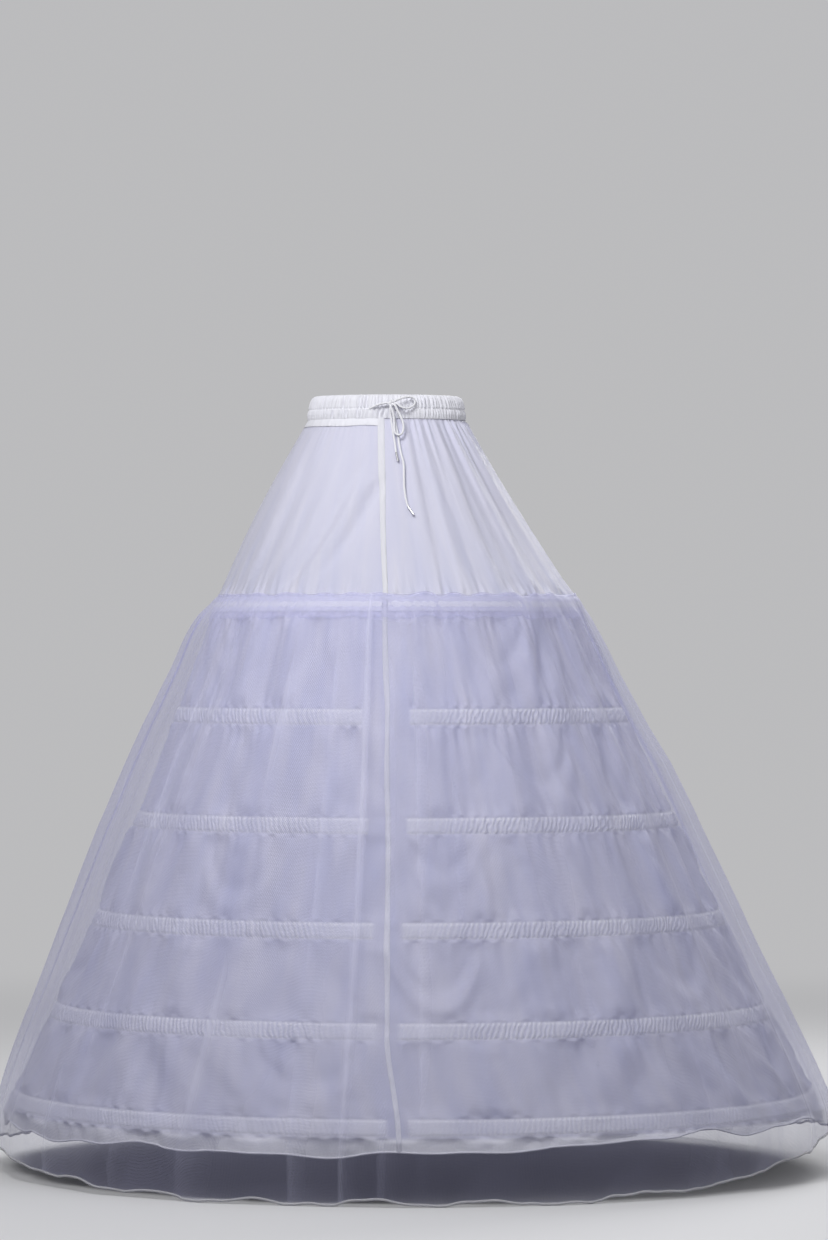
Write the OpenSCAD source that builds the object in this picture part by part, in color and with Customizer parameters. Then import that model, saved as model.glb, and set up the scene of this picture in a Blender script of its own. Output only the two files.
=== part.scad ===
// Hooped petticoat: a gathered lining spread by six sprung hoops, a tulle overskirt and a drawstring waist.
// Millimetres, +Z up, floor at z = 0. The side with the bow faces -Y.

/* [Waist] */
// Height of the top of the waistband above the floor
waist_h = 1121; // [1040:1:1240]
// Width of the waist oval at its top edge
waist_w = 210; // [190:1:320]
// Depth of the waist oval at its top edge
waist_d = 160; // [140:1:260]
// Height of the waistband
band_h = 35; // [32:1:50]
// How much wider the band is at its lower edge, on each side
band_flare = 9; // [0:0.5:16]
// How far the waist leans sideways from above the hem
lean = 40; // [0:1:80]
// Depth of the gathers in the waistband
ruche = 0.9; // [0:0.1:2]
// Width of the elastic in the waistband
elastic_w = 15; // [8:0.5:15]
// Thickness of the elastic
elastic_t = 1; // [0.6:0.1:1.4]

/* [Hoops] */
// Diameter of the lining at the top hoop
top_hoop_d = 528; // [460:1:620]
// Growth of the radius from one hoop to the next
hoop_step = 64.2; // [50:0.1:75]
// Height of the top hoop above the floor
top_hoop_h = 817; // [780:1:860]
// Height of the bottom hoop above the floor
bottom_hoop_h = 105; // [90:1:130]
// How much each tier is shorter than the one above it
tier_taper = 8.3; // [4:0.1:12]
// Width of the flat hoop strip
hoop_w = 8; // [5:0.5:10]
// Thickness of the hoop strip
hoop_t = 1.2; // [0.8:0.1:2]
// Length of the sleeve over the two ends of a hoop
joiner_len = 30; // [20:1:44]
// Wall of the sleeve
joiner_t = 0.6; // [0.4:0.1:1]
// Width of the tape that holds a hoop
tape_w = 24; // [21:0.5:24]
// Thickness of the tape
tape_t = 0.6; // [0.4:0.1:1]
// Bare stretch between the tape ends at the front seam
tape_gap = 64; // [50:1:90]

/* [Lining] */
// Thickness of the lining
lining_t = 1; // [0.6:0.1:1.5]
// Depth of the gathers below the waistband
yoke_fold = 6; // [0:0.5:7]
// Depth of the folds between two hoops
tier_fold = 6; // [0:0.5:8]
// Depth of the flounce below the bottom hoop
flounce_h = 36; // [24:1:50]
// Depth of the waves along the lining's hem
flounce_wave = 3; // [0:0.5:4]
// Angle of the front seam to the left of the middle
seam_turn = 3.6; // [0:0.1:8]
// Angle that the seams drift round to the right by the lining's hem
seam_drift = 1.8; // [0:0.1:4]
// Width of the seam strips
seam_w = 9; // [6:0.5:12]
// Thickness of the seam strips
seam_t = 0.9; // [0.5:0.1:1.2]

/* [Overskirt] */
// Thickness of the tulle
tulle_t = 0.8; // [0.5:0.1:1.2]
// Distance that the tulle stands off the top hoop
tulle_stand = 11; // [10:0.5:18]
// Extra distance that it stands off the middle hoops
tulle_puff = 11; // [6:0.5:18]
// Depth of the tulle's folds at its hem
hem_fold = 9; // [4:0.5:10]
// Rise of the hem at the left side
lift_left = 32; // [0:1:50]
// Rise of the hem at the right side
lift_right = 53; // [0:1:60]
// Angle of the tulle's front seam to the left of the middle
tulle_turn = 7.5; // [4:0.1:12]
// Width of the rolled binding on the hem
binding_w = 6; // [4:0.5:9]
// Thickness of the rolled binding
binding_t = 1; // [0.6:0.1:1.6]
// Thickness of the tape that the tulle hangs from
heading_t = 0.8; // [0.5:0.1:1]

/* [Drawstring] */
// Diameter of the cord
cord_d = 3.2; // [2.4:0.1:3.4]
// Diameter of the knot
knot_d = 10; // [9.6:0.1:10.4]
// Diameter of the metal tips
aglet_d = 3; // [2:0.1:3.6]

/* [Hidden] */
// Play between pieces that lie on each other
fit = 0.3;
hoop_count = 6;
lining_cols = 14;
tulle_cols = 20;
band_cols = 64;
front = 270;
seam_a = front - seam_turn;
// Height of the waistband's lower edge
seam_z = waist_h - band_h;
// Drop from the first hoop to the second
tiers = hoop_count - 1;
tier_h = (top_hoop_h - bottom_hoop_h + tiers * (tiers - 1) / 2 * tier_taper) / tiers;
// Half height of the flat stretch of lining along each hoop
flat_h = 12;
tuck = 5;
sides = ["front_right", "back_right", "back_left", "front_left"];

satin = [0.93, 0.93, 0.96];
net = [0.80, 0.79, 0.86];
tape_white = [0.97, 0.97, 0.98];
steel = [0.72, 0.73, 0.75];

function mix(a, b, t) = a + (b - a) * t;
function ease(t) = let (c = min(1, max(0, t))) c * c * (3 - 2 * c);
function turn_from(a, b) = abs((a - b + 900) % 360 - 180);
function unit(v) = v / norm(v);
function quad(a, b, c, d) = [[a, b, c], [a, c, d]];

function hoop_z(k) = top_hoop_h - (k - 1) * tier_h + (k - 1) * (k - 2) / 2 * tier_taper;
function hoop_r(k) = top_hoop_d / 2 + (k - 1) * hoop_step;
function tier_slope(k) = hoop_step / (hoop_z(k) - hoop_z(k + 1));
function hoop_slope(k) = (tier_slope(max(1, k - 1)) + tier_slope(min(hoop_count - 1, k))) / 2;
function hoop_x(k) = -lean * pow(hoop_z(k) / waist_h, 1.5);
last_z = hoop_z(hoop_count);
last_r = hoop_r(hoop_count);

// Each hoop gives two points of the profile, so the lining runs straight across it
hoop_table = [for (k = [1:hoop_count], s = [1, -1])
    [hoop_z(k) + s * flat_h, hoop_r(k) - s * flat_h * hoop_slope(k), hoop_x(k)]];
axis_table = concat([[waist_h, -lean], [seam_z, -lean]], [for (h = hoop_table) [h[0], h[2]]], [[0, 0]]);
flounce_z = last_z - flounce_h;
flounce_r = last_r + flounce_h * hoop_slope(hoop_count) * 0.4;
r_table = concat([for (h = hoop_table) [h[0], h[1]]], [[flounce_z, flounce_r]]);
rx_table = concat([[waist_h, waist_w / 2], [seam_z, waist_w / 2 + band_flare]], r_table);
ry_table = concat([[waist_h, waist_d / 2], [seam_z, waist_d / 2 + band_flare]], r_table);
function axis_x(z) = lookup(z, axis_table);
function skirt_rx(z) = lookup(z, rx_table);
function skirt_ry(z) = lookup(z, ry_table);
function on_oval(a, z, off) =
    [axis_x(z) + (skirt_rx(z) + off) * cos(a), (skirt_ry(z) + off) * sin(a), z];

// Gathers: two waves of whole number round the skirt, with another phase in each tier, mostly inwards.
// They die away towards the front and back seams
function calm(a) = ease((min(turn_from(a, front), turn_from(a, front - 180)) - 14) / 18);
function fold(a, tier) = 0.55 * cos(11 * a + 83 * tier) + 0.45 * cos(17 * a + 131 * tier) - 0.35;
function yoke_side(a) = mix(0.25, 1, ease((cos(a) + 0.2) / 0.8));
function fold_share(a, tier) = tier == 0 ? calm(a) * yoke_side(a) : mix(0.4, 1, calm(a));
function hem_wave(a) = 0.6 * cos(13 * a + 20) + 0.4 * cos(19 * a);

// Rows of the lining from the waist down: height, fold depth, tier, share of the hem wave
yoke_z = hoop_z(1) + flat_h;
lining_rows = concat(
    [[seam_z + tuck, 0, 0, 0], [seam_z, 0, 0, 0]],
    [[mix(seam_z, yoke_z, 0.12), yoke_fold, 0, 0], [mix(seam_z, yoke_z, 0.42), yoke_fold * 0.9, 0, 0]],
    [[mix(seam_z, yoke_z, 0.72), yoke_fold * 0.6, 0, 0]],
    [for (k = [1:hoop_count - 1]) each [
        [hoop_z(k) + flat_h, 0, k, 0],
        [hoop_z(k) - flat_h, 0, k, 0],
        [(hoop_z(k) + hoop_z(k + 1)) / 2, tier_fold, k, 0]]],
    [[last_z + flat_h, 0, 6, 0], [last_z - flat_h, 0, 6, 0], [flounce_z, 0, 6, 1]]
);
function lining_off(a, row) =
    row[1] * fold(a, row[2]) * fold_share(a, row[2]) + row[3] * flounce_wave * hem_wave(a);
drift_z = hoop_z(hoop_count - 1);
function drift(z) = seam_drift * ease((drift_z - z) / (drift_z - flounce_z));
function lining_point(a, row, inset) = on_oval(a + drift(row[0]), row[0], lining_off(a, row) - inset);

// Tulle: it stands off the lining by a mean distance, and its folds swing round that
function fall(z) = min(1, max(0, (top_hoop_h - z) / (top_hoop_h - last_z)));
function tulle_mean(z) =
    tulle_stand + 6 * fall(z) + tulle_puff * sin(180 * pow(fall(z), 0.75));
function tulle_amp(z) = z < last_z ? hem_fold : 0.62 * tulle_mean(z) - 2.5;
function tulle_fold(a) = 0.6 * cos(16 * a + 15) + 0.4 * cos(22 * a + 70);
function hem_lift(a) =
    mix(lift_left, lift_right, (1 + cos(a)) / 2)
    * ease((min(turn_from(a, 270), turn_from(a, 90)) - 25) / 65);
// Below the bottom hoop the tulle hangs straight, clear of the flounce
hang_r = last_r + 8 + hem_fold + flounce_wave;
tulle_rows = concat(
    [hoop_z(1) + flat_h, hoop_z(1) - 10, hoop_z(1) - 98],
    [for (k = [2:hoop_count - 2]) (hoop_z(k) + hoop_z(k + 1)) / 2 + 20],
    [last_z + 20, last_z - flat_h, 0]
);
tulle_last = len(tulle_rows) - 1;
function tulle_r(i, z) =
    i == 0 ? skirt_rx(z) + heading_t + 0.8 : i < tulle_last - 1 ? skirt_rx(z) + tulle_mean(z) : hang_r;
function tulle_point(a, i, out) =
    let (z = i == tulle_last ? hem_lift(a) : tulle_rows[i])
    let (turn = i == tulle_last ? 2 : 0)
    let (r = tulle_r(i, z) + (i == 0 ? 0 : tulle_amp(z) * tulle_fold(a)) + out)
    [axis_x(z) + r * cos(a - turn), r * sin(a - turn), z];

// Closed sheet between an outer and an inner grid of points, both [column][row]
module sheet(outer, inner) {
    nc = len(outer);
    nr = len(outer[0]);
    n = nc * nr;
    points = concat([for (c = outer) each c], [for (c = inner) each c]);
    over = [for (c = [0:nc - 2], r = [0:nr - 2])
        each quad(c * nr + r, (c + 1) * nr + r, (c + 1) * nr + r + 1, c * nr + r + 1)];
    under = [for (f = over) [f[2] + n, f[1] + n, f[0] + n]];
    // both ends are split along the same diagonal, so that two panels meet face to face
    ends = [for (r = [0:nr - 2], e = [0, 1])
        let (a = e * (nc - 1) * nr + r, b = a + 1)
        each e == 0 ? quad(a, b, b + n, a + n) : [[b + n, b, a], [a + n, b + n, a]]];
    rims = [for (c = [0:nc - 2], e = [0, 1])
        let (a = (c + 1 - e) * nr + e * (nr - 1), b = (c + e) * nr + e * (nr - 1))
        each quad(a, b, b + n, a + n)];
    polyhedron(points, concat(over, under, ends, rims));
}

// Closed ring from sections of equal length, in order round the ring
module ring(sections) {
    nc = len(sections);
    nm = len(sections[0]);
    points = [for (s = sections) each s];
    faces = [for (c = [0:nc - 1], m = [0:nm - 1])
        let (d = (c + 1) % nc, q = (m + 1) % nm)
        each quad(c * nm + m, d * nm + m, d * nm + q, c * nm + q)];
    polyhedron(points, faces);
}

// Round cord along a list of points
module cord(path, ref) {
    n = len(path);
    rings = [for (i = [0:n - 1])
        let (t = unit(path[min(n - 1, i + 1)] - path[max(0, i - 1)]))
        let (u = unit(cross(t, ref)))
        let (v = cross(t, u))
        [for (m = [0:7]) path[i] + cord_d / 2 * (cos(45 * m) * u - sin(45 * m) * v)]];
    walls = [for (i = [0:n - 2], m = [0:7])
        let (q = (m + 1) % 8)
        each quad(i * 8 + m, i * 8 + q, i * 8 + 8 + q, i * 8 + 8 + m)];
    caps = [[for (m = [7:-1:0]) m], [for (m = [0:7]) (n - 1) * 8 + m]];
    polyhedron([for (r = rings) each r], concat(walls, caps));
}

module lining(g) {
    turns = [for (c = [0:lining_cols]) seam_a + 90 * (g + c / lining_cols)];
    color(satin)
        sheet(
            [for (a = turns) [for (row = lining_rows) lining_point(a, row, 0)]],
            [for (a = turns) [for (row = lining_rows) lining_point(a, row, lining_t)]]
        );
}

// Strip along a seam, lying on the two facets of the lining that meet there
module seam_strip(a) {
    step = 90 / lining_cols;
    out = [cos(a), sin(a), 0];
    rows = [for (i = [1:len(lining_rows) - 1]) i == 1 ? [seam_z - fit, 0, 0, 0] : lining_rows[i]];
    function beside(row, turn) =
        let (p = lining_point(a, row, 0), q = lining_point(a + turn, row, 0))
        turn == 0 ? p : p + unit(q - p) * seam_w / 2;
    color(tape_white)
        sheet(
            [for (t = [-step, 0, step]) [for (row = rows) beside(row, t) + out * (fit + seam_t)]],
            [for (t = [-step, 0, step]) [for (row = rows) beside(row, t) + out * fit]]
        );
}

module tulle(g) {
    turns = [for (c = [0:tulle_cols]) front - tulle_turn + 90 * (g + c / tulle_cols)];
    color(net)
        sheet(
            [for (a = turns) [for (i = [0:tulle_last]) tulle_point(a, i, tulle_t)]],
            [for (a = turns) [for (i = [0:tulle_last]) tulle_point(a, i, 0)]]
        );
}

// Rolled edge on the outside of the tulle's hem
module tulle_hem_binding() {
    function edge(a, s, out) =
        let (p = tulle_point(a, tulle_last, tulle_t), q = tulle_point(a, tulle_last - 1, tulle_t))
        p + unit(q - p) * s + [cos(a), sin(a), 0] * out;
    color(tape_white)
        ring([for (c = [0:4 * tulle_cols - 1])
            let (a = front - tulle_turn + 90 * c / tulle_cols)
            [
                edge(a, 0.6 + binding_w, fit + binding_t),
                edge(a, 0.6, fit + binding_t),
                edge(a, 0.6, fit),
                edge(a, 0.6 + binding_w, fit)
            ]]);
}

// Section of a hoop's fittings: x is the distance out from the lining, y runs up along it
module on_slope(k, r) {
    translate([r, hoop_z(k)])
        rotate(atan(hoop_slope(k)))
            children();
}

// Radius that clears the flats of the lining's facets from inside
function inner_r(k) = (hoop_r(k) - lining_t) * cos(45 / lining_cols);
function arc(k, length) = length / hoop_r(k) * 180 / PI;
hoop_out = fit + joiner_t + fit / 2;
tunnel_w = hoop_w + 1.2;

module sweep(k, gap) {
    translate([hoop_x(k), 0, 0])
        rotate([0, 0, seam_a + arc(k, gap) / 2])
            rotate_extrude(angle = 360 - arc(k, gap))
                children();
}

module hoop_tape(k) {
    deep = hoop_out + hoop_t + fit;
    color(tape_white)
        sweep(k, tape_gap)
            on_slope(k, inner_r(k))
                polygon([
                    [-fit, -tape_w / 2], [-fit, -tunnel_w / 2 - 2], [-deep, -tunnel_w / 2],
                    [-deep, tunnel_w / 2], [-fit, tunnel_w / 2 + 2], [-fit, tape_w / 2],
                    [-fit - tape_t, tape_w / 2], [-fit - tape_t, tunnel_w / 2 + 2.4],
                    [-deep - tape_t, tunnel_w / 2 + 0.4], [-deep - tape_t, -tunnel_w / 2 - 0.4],
                    [-fit - tape_t, -tunnel_w / 2 - 2.4], [-fit - tape_t, -tape_w / 2]
                ]);
}

module hoop(k) {
    color(steel)
        sweep(k, 2)
            on_slope(k, inner_r(k))
                translate([-hoop_out - hoop_t, -hoop_w / 2])
                    square([hoop_t, hoop_w]);
}

module hoop_joiner(k) {
    bore_t = hoop_t + fit;
    bore_w = hoop_w + fit;
    span = arc(k, joiner_len);
    color(steel)
        translate([hoop_x(k), 0, 0])
            rotate([0, 0, seam_a - span / 2])
                rotate_extrude(angle = span)
                    on_slope(k, inner_r(k))
                        translate([-hoop_out - hoop_t / 2, 0])
                            difference() {
                                square([bore_t + 2 * joiner_t, bore_w + 2 * joiner_t], true);
                                square([bore_t, bore_w], true);
                            }
}

// Tape round the top hoop that the tulle is sewn to, in two halves that end beside the seam strips
module tulle_heading() {
    gap = arc(1, seam_w + 4);
    color(tape_white)
        translate([hoop_x(1), 0, 0])
            for (half = [0, 180])
                rotate([0, 0, seam_a + half + gap / 2])
                    rotate_extrude(angle = 180 - gap)
                        on_slope(1, hoop_r(1))
                            translate([fit, -flat_h])
                                square([heading_t, 2 * flat_h]);
}

// Waistband: one strip folded over at the top, its two edges sewn to the lining's top edge
band_slot_h = 7.5;
function band_point(c, h, n, share) =
    on_oval(360 * c / band_cols, seam_z + h, n + share * ruche * (c % 2));
band_in = lining_t + 2.2;

module buttonhole(u) {
    z = seam_z + 14.5;
    psi = asin(u / (skirt_rx(z)));
    translate([axis_x(z) + u, -skirt_ry(z) * cos(psi), z])
        rotate([0, 0, atan2(skirt_ry(z) * sin(psi), skirt_rx(z) * cos(psi))])
            translate([-8, -6, -band_slot_h / 2])
                cube([16, 5, band_slot_h]);
}

module waistband_casing() {
    top = band_h - 4;
    color(satin)
        difference() {
            ring([for (c = [0:band_cols - 1])
                [
                    band_point(c, band_h, 0, 0), band_point(c, top, 3, 1), band_point(c, 6, 3, 1),
                    band_point(c, 0, 1.25, 0), band_point(c, 0, 0.45, 0), band_point(c, 6.3, 2.2, 1),
                    band_point(c, top, 2.2, 1), band_point(c, band_h - 0.9, 0, 0),
                    band_point(c, top, 0.8 - band_in, 0), band_point(c, 6.3, 0.8 - band_in, 0),
                    band_point(c, 0, -lining_t - 0.45, 0), band_point(c, 0, -lining_t - 1.25, 0),
                    band_point(c, 6, -band_in, 0), band_point(c, top, -band_in, 0)
                ]]);
            buttonhole(-22);
            buttonhole(25);
        }
}

module waist_elastic() {
    low = band_h - 4 - elastic_w;
    n = 0.8 - band_in + 2 * fit;
    color(tape_white)
        ring([for (c = [0:39])
            let (a = 9 * c)
            [
                on_oval(a, seam_z + low + elastic_w, n + elastic_t),
                on_oval(a, seam_z + low, n + elastic_t),
                on_oval(a, seam_z + low, n),
                on_oval(a, seam_z + low + elastic_w, n)
            ]]);
}

// Drawstring: each point is the distance right of the waist's middle, the drop below its top edge
// and the distance in front of the cloth
run_drop = 22;
run_off = 0.3;
run_from = [-34, run_drop, run_off];
run_to = [37, run_drop, run_off];
lead_left = [run_from, [-28, 21.5, 0.3], [-22, 20, 3.3], [-16, 17, 7], [-7, 14, 8.8]];
lead_right = [run_to, [31, 21.5, 0.3], [25, 20, 3.3], [20, 17, 7], [17, 14.5, 8]];
knot_spot = [8, 13, 9.4];
loop_right = [
    [20, 7, 12], [30, 4, 11], [39, 5.5, 8], [42, 11, 7], [39, 17, 7.5], [30, 21, 10], [21, 19, 13]
];
loop_down = [
    [9, 25, 13], [11, 37, 12], [12, 52, 8.5], [18, 60, 8], [24, 55, 10], [24.5, 44, 12.5], [20, 31, 14],
    [14.5, 21, 13.5]
];
tail_long = [
    [9.5, 24, 6.5], [11, 32, 6], [13.5, 44, 4], [16.5, 58, 3], [18.5, 72, 2.6], [21, 86, 2.6],
    [25, 102, 2.6], [25.5, 120, 2.6], [26, 137, 2.6], [28, 152, 2.6], [30.5, 163, 2.6]
];
tail_short = [[5.5, 24, 6.5], [6.5, 32, 6], [8, 44, 4], [10, 58, 3], [12.5, 72, 2.6], [14, 84, 2.6]];
tip_long = [39.5, 176, 2.8];
tip_short = [17, 98, 2.8];

function spot(p) =
    let (z = waist_h - p[1], x = p[0] - lean, u = (x - axis_x(z)) / skirt_rx(z))
    [x, -skirt_ry(z) * sqrt(1 - u * u) - p[2], z];
function spots(list) = [for (p = list) spot(p)];
knot_c = spot(knot_spot);
// Two points of a cord that leaves the knot in the direction v
function from_knot(v) = [for (d = [0.1, 3]) knot_c + unit(v) * (knot_d / 2 + d)];
function to_knot(v) = [for (d = [3, 0.1]) knot_c + unit(v) * (knot_d / 2 + d)];
// A tail ends in line with its metal tip
function to_tip(tail, tip) =
    let (p = spot(tail[len(tail) - 1]), q = spot(tip))
    concat(spots(tail), [p + unit(q - p) * 2]);

module drawstring_run() {
    z = waist_h - run_drop;
    from = asin((run_from[0] - lean - axis_x(z)) / (skirt_rx(z) + run_off)) - 0.15;
    to = asin((run_to[0] - lean - axis_x(z)) / (skirt_rx(z) + run_off)) + 0.15;
    color(tape_white)
        cord([for (i = [0:32]) on_oval(front + mix(to, from + 360, i / 32), z, run_off)], [0, 0, 1]);
}

module drawstring_left() {
    color(tape_white) {
        cord(concat(spots(lead_left), to_knot([-5, 0, 0])), [0, 1, 0]);
        cord(concat(from_knot([-1.5, -3.3, -3.5]), spots(loop_down), to_knot([3.4, -2.9, -2.4])), [0, 1, 0]);
        cord(concat(from_knot([-3, 0.6, -4.1]), to_tip(tail_short, tip_short)), [0, 1, 0]);
    }
}

module drawstring_right() {
    color(tape_white) {
        cord(concat(spots(lead_right), to_knot([4.3, 2.3, -1.5])), [0, 1, 0]);
        cord(concat(from_knot([4.2, -0.5, 2.8]), spots(loop_right), to_knot([5, -0.8, -0.3])), [0, 1, 0]);
        cord(concat(from_knot([0.5, 1.2, -4.9]), to_tip(tail_long, tip_long)), [0, 1, 0]);
    }
}

module drawstring_knot() {
    color(tape_white)
        translate(knot_c)
            sphere(d = knot_d, $fn = 48);
}

// Metal tip on the end of a tail
module aglet(tail, tip) {
    p = spot(tail[len(tail) - 1]);
    v = spot(tip) - p;
    color(steel)
        translate(p + unit(v) * (2 + fit))
            rotate([0, acos(v[2] / norm(v)), atan2(v[1], v[0])])
                cylinder(h = norm(v) - 2, d = aglet_d, $fn = 32);
}

module aglet_long() {
    aglet(tail_long, tip_long);
}

module aglet_short() {
    aglet(tail_short, tip_short);
}

waistband_casing();
waist_elastic();
drawstring_run();
drawstring_left();
drawstring_right();
drawstring_knot();
aglet_long();
aglet_short();
seam_strip(seam_a);  // front_seam_strip
seam_strip(seam_a + 180);  // back_seam_strip
tulle_heading();
tulle_hem_binding();
for (g = [0:3]) lining(g);
for (g = [0:3]) tulle(g);
for (k = [1:hoop_count]) hoop_tape(k);
for (k = [1:hoop_count]) hoop(k);
for (k = [1:hoop_count]) hoop_joiner(k);
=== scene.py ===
import math

import bpy
import numpy as np
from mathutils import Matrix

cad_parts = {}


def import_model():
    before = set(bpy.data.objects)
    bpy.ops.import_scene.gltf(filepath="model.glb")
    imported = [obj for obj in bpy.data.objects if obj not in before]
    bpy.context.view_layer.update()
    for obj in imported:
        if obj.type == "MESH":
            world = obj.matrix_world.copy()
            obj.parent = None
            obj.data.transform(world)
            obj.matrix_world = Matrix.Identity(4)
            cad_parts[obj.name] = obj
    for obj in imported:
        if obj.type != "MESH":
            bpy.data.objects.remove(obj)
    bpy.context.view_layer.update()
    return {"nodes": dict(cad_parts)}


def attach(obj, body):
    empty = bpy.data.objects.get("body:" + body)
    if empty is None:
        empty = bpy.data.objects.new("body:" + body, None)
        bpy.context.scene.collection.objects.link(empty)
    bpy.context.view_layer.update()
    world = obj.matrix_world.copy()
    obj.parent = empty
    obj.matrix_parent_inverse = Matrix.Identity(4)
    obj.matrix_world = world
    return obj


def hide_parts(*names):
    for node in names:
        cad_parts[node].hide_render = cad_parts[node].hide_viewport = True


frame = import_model()
nodes = frame["nodes"]
scene = bpy.context.scene
scene.view_settings.view_transform = "Standard"
tau = 2 * math.pi
front, behind = 1.5 * math.pi, 0.5 * math.pi
print("frame loaded:", len(nodes), "nodes")

# camera: level, in front of the bow, a long lens with a slight upward shift
view = {"place": (0.0, -8.0, 0.766), "lens": 159.07, "sensor": 36, "rise": 0.0161, "reach": 200}
lens = bpy.data.cameras.new("camera")
lens.lens = view["lens"]
lens.sensor_width = view["sensor"]
lens.shift_y = view["rise"]
lens.clip_end = view["reach"]
camera = bpy.data.objects.new("camera", lens)
camera.location = view["place"]
camera.rotation_euler = (math.pi / 2, 0, 0)
scene.collection.objects.link(camera)
scene.camera = camera


# the skirt's profile in millimetres: six hoops, each tier shorter by the taper than the one above it, with a
# straight band of cloth at each hoop, and an axis that leans to the left towards the waist
skirt = {"waistZ": 1121.0, "seamZ": 1086.0, "waistX": 105.0, "waistY": 80.0, "flare": 9.0,
         "lean": 40.0, "leanPower": 1.5, "hoops": 6, "topZ": 817.0, "bottomZ": 105.0, "taper": 8.3,
         "topR": 264.0, "step": 64.2, "flat": 12.0, "hemZ": 69.0, "hemFlare": 0.4,
         "drift": math.radians(1.8)}
tiers = skirt["hoops"] - 1
hoopK = np.arange(skirt["hoops"])
tierDrop = (skirt["topZ"] - skirt["bottomZ"] + tiers * (tiers - 1) / 2 * skirt["taper"]) / tiers
hoopZ = skirt["topZ"] - hoopK * tierDrop + hoopK * (hoopK - 1) / 2 * skirt["taper"]
hoopR = skirt["topR"] + hoopK * skirt["step"]
hoopX = -skirt["lean"] * (hoopZ / skirt["waistZ"]) ** skirt["leanPower"]
tierSlope = skirt["step"] / (hoopZ[:-1] - hoopZ[1:])
hoopSlope = (tierSlope[np.clip(hoopK - 1, 0, tiers - 1)] + tierSlope[np.clip(hoopK, 0, tiers - 1)]) / 2
hemR = hoopR[-1] + (hoopZ[-1] - skirt["hemZ"]) * hoopSlope[-1] * skirt["hemFlare"]
edgeZ = np.concatenate([hoopZ + skirt["flat"], hoopZ - skirt["flat"]])
edgeR = np.concatenate([hoopR - skirt["flat"] * hoopSlope, hoopR + skirt["flat"] * hoopSlope])
order = np.argsort(edgeZ)
profileZ = np.concatenate([[skirt["hemZ"]], edgeZ[order], [skirt["seamZ"], skirt["waistZ"]]])
ringR = np.concatenate([[hemR], edgeR[order]])
profileX = np.concatenate([ringR, [skirt["waistX"] + skirt["flare"], skirt["waistX"]]])
profileY = np.concatenate([ringR, [skirt["waistY"] + skirt["flare"], skirt["waistY"]]])
axisZ = np.concatenate([[0], edgeZ[order], [skirt["seamZ"], skirt["waistZ"]]])
axisTable = np.concatenate([[0], np.concatenate([hoopX, hoopX])[order], [-skirt["lean"], -skirt["lean"]]])


# place of the axis at a height: straight lines between the table's points
def axisX(z):
    return np.interp(z, axisZ, axisTable)


# half width of the oval at a height, across and front to back: straight lines between the profile's points
def skirtX(z):
    return np.interp(z, profileZ, profileX)


def skirtY(z):
    return np.interp(z, profileZ, profileY)


# a point of the skirt: the oval of that height, moved out by off, round the leaning axis
def onOval(angle, z, off=0.0):
    x = axisX(z) + (skirtX(z) + off) * np.cos(angle)
    y = (skirtY(z) + off) * np.sin(angle)
    return np.stack(np.broadcast_arrays(x, y, z), axis=-1)


# how far up a height is between the top hoop, 0, and the waist seam, 1
def yokeShare(z):
    return np.clip((z - hoopZ[0]) / (skirt["seamZ"] - hoopZ[0]), 0, 1)


# 0 below 0, 1 above 1, with a soft start and end: three squares less two cubes
def ease(t):
    t = np.clip(t, 0, 1)
    return t * t * (3 - 2 * t)


# 0 before the start of a pair and 1 a length past it, and the other way round
def after(x, pair):
    return ease((x - pair[0]) / pair[1])


def before(x, pair):
    return ease((pair[0] - x) / pair[1])


# bell curve: 1 at its middle, falling off on both sides over its width
def bell(x, middle, wide):
    return np.exp(-((x - middle) / wide) ** 2)


# a whole turn in equal steps
def ringAngles(count):
    return tau * np.arange(count) / count


# angle from another direction, from -pi to pi, and its size
def signedTurn(angle, other):
    return (angle - other + math.pi) % tau - math.pi


def turnFrom(angle, other):
    return np.abs(signedTurn(angle, other))


# level direction away from the axis: cosine and sine of the angle
def outwards(angle):
    return np.stack([np.cos(angle), np.sin(angle), 0 * angle], axis=-1)


# distance walked along a line of points, from 0 at the first
def runAlong(path):
    return np.concatenate([[0], np.cumsum(np.linalg.norm(np.diff(path, axis=0), axis=1))])


# a vector divided by its length
def unit(v):
    return v / np.maximum(np.linalg.norm(v, axis=-1, keepdims=True), 1e-9)


# sum of whole waves round the skirt: each is a share, a number of waves and a phase
def waveSum(angle, waves):
    return sum(share * np.cos(count * angle + phase) for share, count, phase in waves)


# an uneven line round the skirt: cosines of every whole wave number from low to high, with seeded phases and
# weights, scaled so that its mean square is one, and read from a table. Each use has a seed of its own
noiseTables = {}


def wavy(angle, low, high, seed):
    key = (low, high, seed)
    if key not in noiseTables:
        rng = np.random.default_rng(seed)
        waves = np.arange(low, high + 1)
        phase = rng.uniform(0, tau, len(waves))
        weight = rng.uniform(0.4, 1.0, len(waves))
        grid = np.linspace(0, tau, 8193)
        line = (weight[:, None] * np.cos(waves[:, None] * grid + phase[:, None])).sum(0)
        noiseTables[key] = (grid, line / np.sqrt((line ** 2).mean()))
    return np.interp(np.asarray(angle) % tau, *noiseTables[key])


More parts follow.
